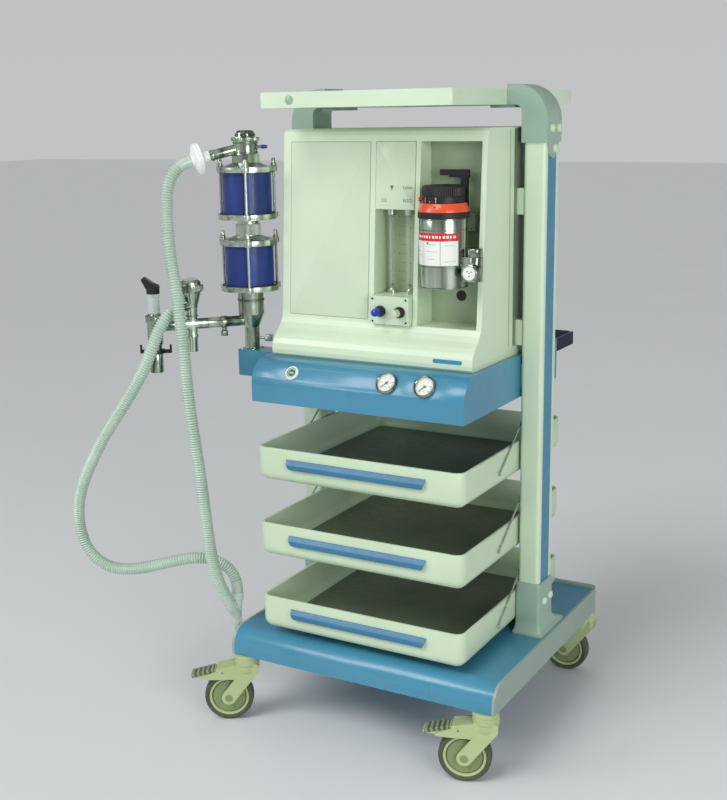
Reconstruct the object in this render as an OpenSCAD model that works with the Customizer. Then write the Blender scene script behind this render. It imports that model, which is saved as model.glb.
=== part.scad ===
// Veterinary anesthesia machine on a four-castor trolley.
// Two columns on a castor base carry three trays, a table with gauges, a cabinet
// with flowmeter and vaporizer, and a top shelf. A circle absorber with two
// corrugated hoses stands on an arm at the left of the table.
// The layout is measured from the middle plane of the trolley; x is to the right,
// y is to the back and z is up. The module place() moves it to the final frame.

/* [Part] */
// which piece to draw

/* [Base] */
// width of the base over its side plates
base_w = 664; // [500:1:800]
// y of the front face of the base
base_front = -170; // [-250:1:-100]
// y of the rear face of the base
base_back = 463; // [300:1:600]
// height of the underside of the base
base_low = 162; // [120:1:200]
// thickness of the base
base_t = 61; // [30:1:90]
// radius of the rounded top front edge of the base
base_round = 42; // [10:1:55]

/* [Castors] */
// diameter of each wheel
wheel_d = 115; // [75:1:160]
// width of each tyre
wheel_w = 30; // [20:1:40]
// distance of each swivel stem from the middle plane
stem_x = 305; // [200:1:320]
// y of the front stems
stem_front = -152; // [-165:1:-100]
// y of the rear stems
stem_back = 445; // [300:1:455]
// trail of the wheel axle behind the stem
trail = 43; // [20:1:60]
// angle by which the front left castor is turned
turn_left = 30; // [-180:1:180]
// angle by which the front right castor is turned
turn_right = 18; // [-180:1:180]

/* [Columns] */
// inner face of each column from the middle plane
col_in = 259; // [200:1:300]
// width of each column
col_w = 50; // [30:1:80]
// y of the front of the columns
col_front = 124; // [50:1:200]
// depth of each column
col_d = 74; // [40:1:100]
// height of the lower edge of the elbows
elbow_low = 1320; // [1000:1:1400]
// height of the top of the elbows
elbow_top = 1440; // [1100:1:1500]

/* [Trays] */
// half width of each tray
tray_half = 254; // [200:1:255]
// y of the front of the trays
tray_front = -159; // [-170:1:-100]
// y of the rear of the trays
tray_back = 395; // [200:1:420]
// height of each tray
tray_h = 78; // [60:1:100]
// wall thickness of each tray
tray_wall = 7; // [3:0.5:10]
// radius of the upright corners of each tray
tray_corner = 25; // [15:1:60]
// radius of the lower edges of each tray
tray_edge = 24; // [10:1:35]
// rim height of the lower tray
rim_low = 320; // [300:1:350]
// rim height of the middle tray
rim_mid = 495; // [450:1:520]
// rim height of the upper tray
rim_up = 671; // [620:1:690]

/* [Table] */
// half width of the table
table_half = 256; // [200:1:258]
// y of the front of the table
table_front = -160; // [-180:1:-100]
// y of the rear of the deep part of the table
table_back = 350; // [250:1:400]
// y of the rear end of the thin lip
lip_back = 458; // [360:1:480]
// underside of the table
table_low = 773; // [700:1:800]
// top of the table
table_top = 866; // [820:1:900]
// radius of the rounded top front edge of the table
table_round = 55; // [20:1:70]
// tilt of the gauges and the flush button above the horizontal
gauge_tilt = 35; // [0:1:60]

/* [Cabinet] */
// half width of the cabinet
cab_half = 243; // [200:1:255]
// top of the cabinet
cab_top = 1353; // [1200:1:1380]
// rear of the cabinet
cab_back = 212; // [150:1:250]
// wall thickness of the cabinet
cab_wall = 4; // [2:0.5:6]
// y of the back wall of the vaporizer recess
recess_back = 24; // [10:1:60]

/* [Shelf] */
// half width of the top shelf
shelf_half = 222; // [180:1:240]
// y of the front of the shelf
shelf_front = -145; // [-200:1:-50]
// y of the rear of the shelf
shelf_back = 505; // [300:1:550]
// underside of the shelf
shelf_low = 1398; // [1300:1:1420]
// height of the shelf edge
shelf_h = 32; // [20:1:50]

/* [Vaporizer] */
// x of the vaporizer axis
vap_x = 163; // [150:1:170]
// y of the vaporizer axis
vap_y = -60; // [-80:1:-50]
// radius of the metal body
vap_r = 50; // [40:1:55]

/* [Absorber] */
// x of the absorber post
post_x = -330; // [-360:1:-300]
// y of the absorber post
post_y = -45; // [-80:1:0]
// outer radius of the clear canisters
can_r = 60; // [40:1:62]
// outer radius of the canister plates
plate_r = 65; // [62:1:70]
// height of the breathing arm
arm_z = 931; // [900:1:960]
// outer radius of the breathing hoses
hose_r = 14; // [10:0.5:18]

/* [Hidden] */
$fn = 48;
base_top = base_low + base_t;
half = base_w / 2;
side_t = 6;
rear_t = 14;
col_out = col_in + col_w;
col_back = col_front + col_d;
col_foot = base_top + 6;
col_top = elbow_low + 25;
wheel_r = wheel_d / 2;
// direction in which the breathing arm and the top port point, seen from above
arm_a = 228.7;
arm_x = cos(arm_a);
arm_y = sin(arm_a);
second_t = 137;
third_t = 221;
// canister heights, from the lower plate up
lower_low = 1001;
lower_high = 1103;
upper_low = 1160;
upper_high = 1263;
plate_t = 12;
rod_r = 69;
rod_angles = [-57, 63, 183];
// the top port starts at this height on the axis and points a little down
valve_z = 1317;
port_droop = 12.5;
filter_t = 111;
// the vaporizer from its foot up
vap_low = 1036;
vap_ring = 1177;
vap_cone = 1189;
vap_dial = 1207;
vap_top = 1242;
// the sleeve on the table for each gauge
gauge_x = [76, 164];
flush_x = -156;
// route of the hose from the filter to the wye, chosen by hand
hose_a_route = [
    [-411.2, -137.4, 1289.7], [-424, -152, 1282], [-435, -166, 1267], [-442.5, -176, 1246],
    [-445.5, -183, 1218], [-443, -190, 1180], [-436, -198, 1138], [-426, -207, 1094],
    [-413, -215, 1048], [-400, -222, 998], [-391, -227, 942], [-385, -228, 880],
    [-382, -227, 815], [-379, -223, 745], [-375, -216, 670], [-372, -207, 590],
    [-372, -197, 512], [-374, -185, 440], [-376, -171, 380],
    [-374, -156, 330], [-369, -142, 294], [-363, -130, 266]
];
// route of the hose from the second valve to the wye
hose_b_route = [
    [-427.5, -183, 970], [-430, -193, 968], [-434, -209, 961], [-440, -226, 945],
    [-448, -240, 918], [-459, -249, 884], [-475, -254, 848], [-498, -257, 810],
    [-530, -259, 766], [-566, -260, 720], [-605, -261, 668], [-642, -261, 612],
    [-673, -260, 558], [-694, -257, 508], [-703, -253, 460], [-701, -248, 418],
    [-687, -243, 382], [-660, -237, 356], [-626, -229, 343], [-588, -218, 342],
    [-548, -205, 349], [-508, -189, 360], [-468, -168, 370], [-433, -147, 373],
    [-405, -128, 366], [-383, -113, 350], [-369, -104, 328], [-362, -101, 305],
    [-359.5, -103, 284]
];
wye_mid = [-356.5, -115, 234];
wye_end = [-355.5, -113, 186];
// the ends of the overall box without the hoses, and the move that centres it
left_end = post_x + third_t * arm_x - 35 * cos(30) - 4 * sin(30);
front_end = post_y + third_t * arm_y - 24 * sin(30) - 12 * cos(30);
shift_x = -(left_end + half) / 2;
shift_y = -(front_end + shelf_back) / 2;

// ---- helpers ----

module place() {
    translate([shift_x, shift_y, 0]) children();
}

module both_sides() {
    children();
    mirror([1, 0, 0]) children();
}

module block(x0, x1, y0, y1, z0, z1) {
    translate([x0, y0, z0]) cube([x1 - x0, y1 - y0, z1 - z0]);
}

module bar_x(y, z, x0, x1, r) {
    translate([x0, y, z]) rotate([0, 90, 0]) cylinder(h = x1 - x0, r = r);
}

module bar_y(x, z, y0, y1, r) {
    translate([x, y1, z]) rotate([90, 0, 0]) cylinder(h = y1 - y0, r = r);
}

module bar_z(x, y, z0, z1, r) {
    translate([x, y, z0]) cylinder(h = z1 - z0, r = r);
}

// a cone or cylinder standing on z0
module taper_z(x, y, z0, z1, r0, r1) {
    translate([x, y, z0]) cylinder(h = z1 - z0, r1 = r0, r2 = r1);
}

// a yz outline drawn out along x
module slab_x(x0, x1, outline) {
    translate([x0, 0, 0]) rotate([90, 0, 90]) linear_extrude(x1 - x0) polygon(outline);
}

// an xz outline drawn out along y
module slab_y(y0, y1, outline) {
    translate([0, y1, 0]) rotate([90, 0, 0]) linear_extrude(y1 - y0) polygon(outline);
}

// a block with rounded upright edges
module soft_block(x0, x1, y0, y1, z0, z1, r) {
    block(x0 + r, x1 - r, y0, y1, z0, z1);
    block(x0, x1, y0 + r, y1 - r, z0, z1);
    for (x = [x0 + r, x1 - r], y = [y0 + r, y1 - r]) {
        bar_z(x, y, z0, z1, r);
    }
}

// a cylinder along the arm direction from the post, t0 to t1, at height z
module arm_bar(z, t0, t1, r) {
    translate([post_x + t0 * arm_x, post_y + t0 * arm_y, z])
        rotate([0, 0, arm_a])
        rotate([0, 90, 0])
        cylinder(h = t1 - t0, r = r);
}

// the same along the top port, which droops by port_droop; r0 and r1 make a cone
module port_bar(t0, t1, r0, r1) {
    translate([post_x, post_y, valve_z])
        rotate([0, 0, arm_a])
        rotate([0, 90 + port_droop, 0])
        translate([0, 0, t0])
        cylinder(h = t1 - t0, r1 = r0, r2 = r1);
}

// puts its children on the rounded table front, z pointing out of the surface
module on_table_front(x) {
    translate([x, table_front + table_round, table_top - table_round])
        rotate([90 - gauge_tilt, 0, 0])
        children();
}

// a straight round bar from p to q
module strut(p, q, r) {
    d = q - p;
    reach = norm(d);
    turn = atan2(d[1], d[0]);
    lean = acos(d[2] / reach);
    translate(p) rotate([0, lean, turn]) cylinder(h = reach, r = r);
}

// ---- swept tubes ----

// one point of a smooth curve between p1 and p2
function smooth_point(p0, p1, p2, p3, t) =
    0.5 * (2 * p1 + (p2 - p0) * t + (2 * p0 - 5 * p1 + 4 * p2 - p3) * t * t
    + (3 * p1 - p0 - 3 * p2 + p3) * t * t * t);

function clamp_at(route, i) = route[max(0, min(len(route) - 1, i))];

// a denser route through the given points
function smooth_route(route, steps) = [
    for (i = [0 : len(route) - 2], k = [0 : steps - 1])
        smooth_point(clamp_at(route, i - 1), route[i], route[i + 1],
            clamp_at(route, i + 2), k / steps),
    route[len(route) - 1]
];

function unit(v) = v / norm(v);

function heading(path, i) =
    i == 0 ? unit(path[1] - path[0])
    : i == len(path) - 1 ? unit(path[i] - path[i - 1])
    : unit(path[i + 1] - path[i - 1]);

// corners of one ring of the tube, kept level against a fixed direction
function ring(path, i, r, sides) =
    let (t = heading(path, i), u = unit(cross([0.5, -0.87, 0.1], t)), v = cross(t, u))
    [for (k = [0 : sides - 1])
        path[i] + r * (u * cos(360 * k / sides) + v * sin(360 * k / sides))];

module tube(route, r, steps = 2, sides = 12) {
    path = smooth_route(route, steps);
    n = len(path);
    corners = [for (i = [0 : n - 1]) each ring(path, i, r, sides)];
    skin = [for (i = [0 : n - 2], k = [0 : sides - 1])
        [i * sides + k, (i + 1) * sides + k,
            (i + 1) * sides + (k + 1) % sides, i * sides + (k + 1) % sides]];
    start = [for (k = [0 : sides - 1]) k];
    finish = [for (k = [0 : sides - 1]) (n - 1) * sides + sides - 1 - k];
    polyhedron(points = corners, faces = concat([start], skin, [finish]));
}

// ---- base ----

// the side view of the base, rounded at the top front edge
module base_section(x0, x1, y1) {
    yc = base_front + base_round;
    zc = base_top - base_round;
    block(x0, x1, yc, y1, base_low, base_top);
    block(x0, x1, base_front, yc, base_low, zc);
    intersection() {
        bar_x(yc, zc, x0, x1, base_round);
        block(x0, x1, base_front, yc, base_low, base_top);
    }
}

module stem_sockets() {
    for (x = [-stem_x, stem_x], y = [stem_front, stem_back]) {
        bar_z(x, y, base_low - 1, base_low + 32, 6.05);
    }
}

module base_deck() color([0.25, 0.53, 0.72]) place() {
    inside = half - side_t;
    difference() {
        base_section(-inside, inside, base_back - rear_t);
        // the hollow underside, with solid corners for the stems
        difference() {
            block(-inside + 4, inside - 4, base_front + 34, base_back - rear_t - 4,
                base_low - 1, base_top - 5);
            // a lower step that stays inside the rounded front
            block(-inside + 4, inside - 4, base_front + 18, base_front + 35,
                base_low - 1, base_top - 17);
            for (x = [-inside - 10, inside - 60]) {
                block(x, x + 70, base_front, base_front + 70, base_low - 2, base_top);
                block(x, x + 70, base_back - 84, base_back, base_low - 2, base_top);
            }
        }
        stem_sockets();
    }
}

module base_rim() color([0.60, 0.66, 0.64]) place() {
    both_sides() base_section(half - side_t, half, base_back - rear_t);
    difference() {
        block(-half, half, base_back - rear_t, base_back, base_low, base_top + 5);
        stem_sockets();
        both_sides() translate([half, base_back, 0]) rotate([0, 0, 45])
            block(-6, 6, -6, 6, base_low - 1, base_top + 9);
    }
}

// ---- columns ----

module column_solid(z0, z1) {
    block(col_in + 9, col_out - 9, col_front, col_back, z0, z1);
    block(col_in, col_out, col_front + 9, col_back, z0, z1);
    for (x = [col_in + 9, col_out - 9]) {
        bar_z(x, col_front + 9, z0, z1, 9);
    }
}

module columns() color([0.80, 0.86, 0.76]) place() both_sides() {
    difference() {
        column_solid(col_foot, col_top);
        block(col_in + 3.5, col_out - 3.5, col_front + 3.5, col_back - 3.5,
            col_foot - 1, col_top + 1);
        block(col_out - 1.5, col_out + 1, col_front + 13, col_back - 14,
            col_foot - 1, col_top + 1);
    }
}

module column_stripes() color([0.22, 0.42, 0.62]) place() both_sides() {
    block(col_out - 1.5, col_out - 0.3, col_front + 13, col_back - 14,
        col_foot, col_top);
}

module foot_profile(z0, z1) {
    soft_block(col_in - 4.5, col_out + 4.5, col_front - 4.5, col_back + 4.5, z0, z1, 8);
}

module column_feet() color([0.62, 0.70, 0.69]) place() both_sides() {
    difference() {
        union() {
            soft_block(col_in - 8, col_out + 16, col_front - 15, col_back + 50,
                base_top, col_foot, 4);
            foot_profile(col_foot, col_foot + 116);
            // the flare from the flange up to the socket
            for (i = [0 : 2]) {
                soft_block(col_in - 7 + i, col_out + 12 - 3 * i, col_front - 12 + 3 * i,
                    col_back + 24 - 8 * i, col_foot, col_foot + 3 + 4 * i, 6);
            }
        }
        column_solid(col_foot, col_foot + 200);
    }
}

// one curved bracket from the column top to the shelf side
module elbow_solid() {
    x0 = shelf_half;
    x1 = col_out + 4;
    y0 = col_front - 4;
    y1 = col_back + 4;
    bend = 75;
    intersection() {
        block(x0, x1, y0, y1, elbow_low, elbow_top);
        union() {
            block(x0, x1 - bend, y0, y1, elbow_low, elbow_top);
            block(x0, x1, y0, y1, elbow_low, elbow_top - bend);
            bar_y(x1 - bend, elbow_top - bend, y0, y1, bend);
        }
    }
}

module elbow_hollow() {
    xi = col_in - 3.5;
    block(shelf_half - 1, xi - 15, col_front - 9, col_back + 9, elbow_low - 1, shelf_low);
    block(shelf_half - 1, xi, col_front - 9, col_back + 9, elbow_low - 1, shelf_low - 15);
    bar_y(xi - 15, shelf_low - 15, col_front - 9, col_back + 9, 15);
}

module column_elbows() color([0.55, 0.66, 0.68]) place() both_sides() {
    difference() {
        elbow_solid();
        elbow_hollow();
        column_solid(elbow_low - 1, col_top);
        block(col_in + 6, col_out - 8, col_front + 8, col_back - 8, col_top - 1, col_top + 40);
    }
    // the rounded tongue down the outer face
    slab_x(col_out, col_out + 4, [
        [col_front + 6, elbow_low], [col_front + 10, elbow_low - 16],
        [col_front + 18, elbow_low - 28], [col_front + 30, elbow_low - 33],
        [col_front + 42, elbow_low - 31], [col_front + 52, elbow_low - 20],
        [col_front + 64, elbow_low]
    ]);
    // the dark flange that reaches under the shelf
    block(shelf_half - 42, shelf_half + 14, col_front + 6, col_back - 4,
        shelf_low - 6, shelf_low);
}

// y and z of the screws in an elbow and in a foot
elbow_screws = [[144, 1349], [182, 1349], [162, 1308]];
foot_screws = [[148, 299], [184, 302]];

module dome_screw(y, z) {
    x = col_out + 4;
    bar_x(y, z, x, x + 4, 8);
    translate([x + 4, y, z]) rotate([0, 90, 0]) cylinder(h = 3, r1 = 8, r2 = 5);
}

module dome_screws() color([0.84, 0.88, 0.78]) place() both_sides() {
    for (s = elbow_screws) dome_screw(s[0], s[1]);
    for (s = foot_screws) translate([0.5, 0, 0]) dome_screw(s[0], s[1]);
}

module top_shelf() color([0.83, 0.88, 0.78]) place() {
    high = shelf_low + shelf_h;
    difference() {
        soft_block(-shelf_half, shelf_half, shelf_front, shelf_back, shelf_low, high, 8);
        soft_block(-shelf_half + 5, shelf_half - 5, shelf_front + 5, shelf_back - 5,
            high - 12, high + 1, 4);
        // the hollow underside, with solid pads over the brackets
        difference() {
            block(-shelf_half + 5, shelf_half - 5, shelf_front + 5, shelf_back - 5,
                shelf_low - 1, high - 16);
            both_sides() block(shelf_half - 50, shelf_half, col_front, col_back,
                shelf_low - 2, high);
        }
    }
}

// ---- cabinet ----

// y of the leaning front face at height z
function front_y(z) = -22 - (1340 - z) * 0.0665;

cab_outline = [
    [cab_back, table_top], [-88, table_top], [-93, 871], [-94, 880], [-92, 893],
    [-87, 904], [-78, 914], [-66, 924], [-56, 935], [-50, 946], [front_y(960), 960],
    [front_y(1340), 1340], [-18, 1348], [-10, cab_top], [cab_back, cab_top]
];

// the same outline moved in by the wall
cab_inline = [
    [cab_back - cab_wall, table_top + cab_wall], [-86, table_top + cab_wall],
    [-89, 880], [-87, 891], [-82, 901], [-74, 910], [-62, 921], [-52, 932],
    [-46, 943], [front_y(960) + cab_wall, 958], [front_y(1340) + cab_wall, 1340],
    [-9, cab_top - cab_wall], [cab_back - cab_wall, cab_top - cab_wall]
];

// x and z limits of the recesses and panels in the front
vap_recess = [94, 231, 947, 1327];
flow_recess = [-11, 83, 947, 1187];
flow_plate = [-11, 83, 1187, 1327];
blank_plate = [-223, -24, 953, 1327];

// a plate that follows the leaning front, from depth a to depth b
module front_plate(limits, gap, a, b) {
    z0 = limits[2] + gap;
    z1 = limits[3] - gap;
    slab_x(limits[0] + gap, limits[1] - gap, [
        [front_y(z0) + a, z0], [front_y(z0) + b, z0],
        [front_y(z1) + b, z1], [front_y(z1) + a, z1]
    ]);
}

module cabinet_shell() color([0.82, 0.87, 0.76]) place() {
    difference() {
        union() {
            difference() {
                slab_x(-cab_half, cab_half, cab_outline);
                slab_x(-cab_half + cab_wall, cab_half - cab_wall, cab_inline);
            }
            intersection() {
                slab_x(-cab_half + 1, cab_half - 1, cab_outline);
                union() {
                    block(vap_recess[0] - 3, vap_recess[1] + 3, -60, recess_back + 3,
                        vap_recess[2] - 3, vap_recess[3] + 3);
                    block(flow_recess[0] - 3, flow_recess[1] + 3, -60, 17,
                        flow_recess[2] - 3, flow_recess[3] + 3);
                }
            }
        }
        block(vap_recess[0], vap_recess[1], -120, recess_back, vap_recess[2], vap_recess[3]);
        block(flow_recess[0], flow_recess[1], -120, 14, flow_recess[2], flow_recess[3]);
        front_plate(blank_plate, 0, -9, 2.5);
        front_plate(flow_plate, 0, -9, 2.5);
        // the cable hole in the back of the recess
        bar_y(168, 1006, recess_back - 1, recess_back + 9, 9);
    }
}

module cabinet_spacers() color([0.80, 0.86, 0.76]) place() both_sides() {
    for (z = [888, 1170]) {
        block(cab_half, col_in, col_front + 6, col_back - 10, z, z + 56);
    }
    block(table_half, col_in, col_front + 10, col_back - 10, table_low + 20, table_top - 20);
}

module blank_panel() color([0.84, 0.88, 0.77]) place() {
    front_plate(blank_plate, 1, -0.5, 2.5);
}

module flow_panel() color([0.84, 0.88, 0.77]) place() {
    front_plate(flow_plate, 0.8, -1.5, 2.5);
}

tube_x = [15, 57];

module flow_tubes() color([0.78, 0.86, 0.82, 0.6]) place() {
    for (x = tube_x) {
        difference() {
            bar_z(x, -8, 1008, 1187, 7);
            bar_z(x, -8, 1020, 1175, 4.5);
        }
    }
}

knob_x = [16, 62];
knob_z = 976;
block_front = -62;

module flow_block() color([0.84, 0.88, 0.76]) place() {
    difference() {
        block(-10, 82, block_front, 14, 948, 1008);
        for (x = knob_x) bar_y(x, knob_z, block_front - 1, block_front + 16, 3.05);
    }
    for (x = [-4, 76], z = [954, 1002]) {
        bar_y(x, z, block_front - 1.5, block_front, 2.5);
    }
}

module flow_knob(x) {
    face = block_front - 0.3;
    bar_y(x, knob_z, face, block_front + 15, 3);
    bar_y(x, knob_z, face - 9, face, 12);
    bar_y(x, knob_z, face - 30, face - 9, 8.5);
}

module oxygen_knob() color([0.10, 0.22, 0.60]) place() flow_knob(knob_x[0]);

module nitrous_knob() color([0.78, 0.82, 0.74]) place() flow_knob(knob_x[1]);

// ---- vaporizer ----

lever_x = 183;
lever_y = 2;
filler_x = 235;
filler_y = -63;

module vaporizer_mount() color([0.42, 0.46, 0.44]) place() {
    difference() {
        union() {
            block(121, 209, -9, recess_back, 1146, 1175);
            block(121, 209, -7, recess_back, 1175, 1182);
        }
        bar_z(lever_x, lever_y, 1160, 1183, 5.05);
    }
}

module vaporizer_body() color([0.75, 0.78, 0.78]) place() {
    difference() {
        union() {
            bar_z(vap_x, vap_y, vap_low, vap_ring, vap_r);
            block(vap_x - 26, vap_x + 26, -30, -9, 1060, 1170);
            // the filler boss beside the body, with the sight glass housing in front
            block(200, filler_x, -76, -50, 1051, 1100);
            bar_z(filler_x, filler_y, 1051, 1100, 16);
            bar_y(filler_x, 1070, -92, -70, 18);
        }
        bar_z(filler_x, filler_y, 1086, 1101, 8.05);
    }
}

module vaporizer_ring() color([0.80, 0.24, 0.14]) place() {
    difference() {
        union() {
            bar_z(vap_x, vap_y, vap_ring, vap_cone, 52);
            taper_z(vap_x, vap_y, vap_cone, vap_dial, 53, 46);
        }
        bar_z(vap_x, vap_y, vap_ring + 5, vap_dial + 1, 10.05);
    }
}

button_a = 209;
button_z = 1214;

module button_bar(t0, t1, r) {
    translate([vap_x + t0 * cos(button_a), vap_y + t0 * sin(button_a), button_z])
        rotate([0, 0, button_a])
        rotate([0, 90, 0])
        cylinder(h = t1 - t0, r = r);
}

module vaporizer_dial() color([0.05, 0.05, 0.05]) place() {
    difference() {
        union() {
            bar_z(vap_x, vap_y, vap_ring + 6, vap_dial + 1, 10);
            bar_z(vap_x, vap_y, vap_dial + 0.3, vap_top - 3, 44);
            taper_z(vap_x, vap_y, vap_top - 3, vap_top, 44, 41);
        }
        button_bar(33, 60, 4.05);
    }
}

module vaporizer_button() color([0.72, 0.10, 0.08]) place() button_bar(37, 51, 4);

module vaporizer_lever() color([0.06, 0.06, 0.06]) place() {
    bar_z(lever_x, lever_y, 1161, 1190, 5);
    block(lever_x - 9, lever_x + 6, lever_y - 6, lever_y + 3, 1183, 1256);
    block(lever_x - 36, lever_x + 9, lever_y - 6, lever_y + 3, 1254, 1270);
    block(lever_x - 56, lever_x - 34, lever_y - 6, lever_y + 3, 1258, 1270);
}

module filler_cap() color([0.72, 0.74, 0.74]) place() {
    bar_z(filler_x, filler_y, 1088, 1101, 8);
    bar_z(filler_x, filler_y, 1100.3, 1116.5, 15.5);
    taper_z(filler_x, filler_y, 1116.5, 1119, 15.5, 13);
}

// ---- table ----

module table_body() color([0.25, 0.53, 0.72]) place() {
    yc = table_front + table_round;
    zc = table_top - table_round;
    difference() {
        union() {
            block(-table_half, table_half, yc, table_back, table_low, table_top);
            block(-table_half, table_half, table_front, yc, table_low, zc);
            intersection() {
                bar_x(yc, zc, -table_half, table_half, table_round);
                block(-table_half, table_half, table_front, yc, table_low, table_top);
            }
            block(-table_half, table_half, table_back, lip_back, table_top - 30, table_top);
        }
        block(-table_half + 5, table_half - 5, yc + 12, table_back - 5,
            table_low + 5, table_top - 5);
        for (x = gauge_x) on_table_front(x) {
            translate([0, 0, table_round - 8]) cylinder(h = 20, r = 23);
            translate([0, 0, table_round - 22]) cylinder(h = 30, r = 20.5);
        }
        on_table_front(flush_x) {
            translate([0, 0, table_round - 6]) cylinder(h = 20, r = 14);
            translate([0, 0, table_round - 20]) cylinder(h = 30, r = 11);
        }
    }
}

module table_bezels() color([0.80, 0.82, 0.80]) place() {
    for (x = gauge_x) on_table_front(x) {
        difference() {
            union() {
                translate([0, 0, table_round - 8]) cylinder(h = 12, r = 23);
                translate([0, 0, table_round - 22]) cylinder(h = 15, r = 20.5);
            }
            translate([0, 0, table_round - 2]) cylinder(h = 10, r = 20);
        }
    }
    on_table_front(flush_x) difference() {
        translate([0, 0, table_round - 6]) cylinder(h = 9, r = 14);
        translate([0, 0, table_round - 10]) cylinder(h = 20, r = 11);
    }
}

module gauge_faces() color([0.92, 0.93, 0.88]) place() {
    for (x = gauge_x) on_table_front(x) difference() {
        translate([0, 0, table_round - 2]) cylinder(h = 2, r = 20);
        translate([0, 0, table_round - 1.5]) cylinder(h = 3, r = 1.05);
    }
}

// the needle at rest points down and to the left, at zero
module gauge_needle(x) on_table_front(x) {
    translate([0, 0, table_round - 1.4]) cylinder(h = 2.6, r = 1);
    translate([0, 0, table_round + 0.4]) cylinder(h = 1, r = 3);
    rotate([0, 0, 225]) translate([-5, -0.9, table_round + 0.4]) cube([20, 1.8, 0.8]);
}

module oxygen_needle() color([0.1, 0.1, 0.1]) place() gauge_needle(gauge_x[0]);

module nitrous_needle() color([0.1, 0.1, 0.1]) place() gauge_needle(gauge_x[1]);

module flush_button() color([0.10, 0.48, 0.22]) place() on_table_front(flush_x) {
    translate([0, 0, table_round - 12]) cylinder(h = 13.5, r = 10.95);
}

module absorber_arm() color([0.23, 0.47, 0.66]) place() {
    block(-352, -table_half, post_y - 26, post_y + 26, table_top - 60, table_top);
    bar_z(post_x, post_y, table_top - 1, 906, 12);
}

// ---- trays ----

// the solid form of a tray, or of its inside when it is inset by the wall
module tray_form(inset, low, high, edge) {
    x = tray_half - inset;
    y0 = tray_front + inset;
    y1 = tray_back - inset;
    intersection() {
        soft_block(-x, x, y0, y1, low, high, tray_corner - inset);
        union() {
            block(-x - 1, x + 1, y0 + edge, y1 - edge, low, high);
            block(-x - 1, x + 1, y0, y1, low + edge, high);
            bar_x(y0 + edge, low + edge, -x - 1, x + 1, edge);
            bar_x(y1 - edge, low + edge, -x - 1, x + 1, edge);
        }
        union() {
            block(-x + edge, x - edge, y0, y1, low, high);
            block(-x, x, y0, y1, low + edge, high);
            bar_y(-x + edge, low + edge, y0, y1, edge);
            bar_y(x - edge, low + edge, y0, y1, edge);
        }
    }
}

module tray(rim) {
    low = rim - tray_h;
    difference() {
        tray_form(0, low, rim, tray_edge);
        tray_form(tray_wall, low + 4, rim + 1, tray_edge - 4);
    }
}

module upper_tray() color([0.80, 0.86, 0.74]) place() tray(rim_up);

module middle_tray() color([0.80, 0.86, 0.74]) place() tray(rim_mid);

module lower_tray() color([0.80, 0.86, 0.74]) place() tray(rim_low);

module tray_handles() color([0.20, 0.42, 0.62]) place() {
    for (rim = [rim_low, rim_mid, rim_up]) {
        slab_x(-170, 170, [
            [tray_front, rim - 43], [tray_front - 6, rim - 43], [tray_front - 10, rim - 39],
            [tray_front - 10, rim - 31], [tray_front - 3, rim - 21], [tray_front, rim - 21]
        ]);
    }
}

// a slanting stay rod, its two end pins and a stud, on each side of each tray
module tray_stays() color([0.72, 0.74, 0.72]) place() both_sides() {
    mid = (tray_half + col_in) / 2;
    for (rim = [rim_low, rim_mid, rim_up]) {
        strut([mid, 18, rim - 47], [mid, 146, rim + 46], 2.2);
        bar_x(20, rim - 46, tray_half, mid + 3, 4);
        bar_x(144, rim + 45, mid - 3, col_in, 4);
        // the lowest stud ends at the socket of the foot
        reach = rim == rim_low ? col_in - 4.5 : col_in;
        bar_x(col_front + 37, rim - 34, tray_half, reach, 9);
    }
}

// ---- absorber ----

module neck_solid() {
    bar_z(post_x, post_y, table_top + 0.3, 916, 17);
    taper_z(post_x, post_y, 916, 946, 17, 29);
    bar_z(post_x, post_y, 946, lower_low - 5, 29);
    bar_z(post_x, post_y, lower_low - 5, lower_low, 24);
}

module absorber_neck() color([0.62, 0.67, 0.62]) place() {
    difference() {
        neck_solid();
        bar_z(post_x, post_y, table_top, 908, 12.05);
        // the socket of the clamp screw
        translate([post_x, post_y, 890]) rotate([0, 90, 22])
            translate([0, 0, 11]) cylinder(h = 8, r = 3.05);
    }
}

// a round plate with an ear for each tie rod
module canister_plate(z) {
    bar_z(post_x, post_y, z, z + plate_t, plate_r);
    for (a = rod_angles) {
        bar_z(post_x + rod_r * cos(a), post_y + rod_r * sin(a), z, z + plate_t, 8);
    }
}

module canister_plates() color([0.62, 0.66, 0.62]) place() {
    difference() {
        union() {
            for (z = [lower_low, lower_high, upper_low, upper_high]) canister_plate(z);
            // the coupling between the two canisters and the raised lids
            bar_z(post_x, post_y, lower_high + plate_t, upper_low, 24);
            translate([post_x, post_y, lower_high + plate_t + 10])
                cylinder(h = 24, r = 31, $fn = 6);
            taper_z(post_x, post_y, lower_high + plate_t, lower_high + plate_t + 8, 50, 30);
            taper_z(post_x, post_y, upper_high + plate_t, upper_high + plate_t + 8, 50, 30);
        }
        for (a = rod_angles) {
            bar_z(post_x + rod_r * cos(a), post_y + rod_r * sin(a),
                lower_low - 1, upper_high + 60, 3);
        }
    }
}

module canister_cylinders() color([0.12, 0.25, 0.62, 0.5]) place() {
    for (z = [lower_low, upper_low]) {
        top = (z == lower_low) ? lower_high : upper_high;
        difference() {
            bar_z(post_x, post_y, z + plate_t, top, can_r);
            bar_z(post_x, post_y, z + plate_t - 1, top + 1, can_r - 4);
        }
    }
}

module tie_rods() color([0.66, 0.70, 0.64]) place() {
    for (a = rod_angles) {
        x = post_x + rod_r * cos(a);
        y = post_y + rod_r * sin(a);
        bar_z(x, y, lower_low, lower_high + plate_t, 3);
        bar_z(x, y, lower_high + plate_t, lower_high + plate_t + 16, 4.5);
        bar_z(x, y, upper_low, upper_high + plate_t, 3);
        bar_z(x, y, upper_high + plate_t, upper_high + plate_t + 16, 4.5);
    }
}

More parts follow.
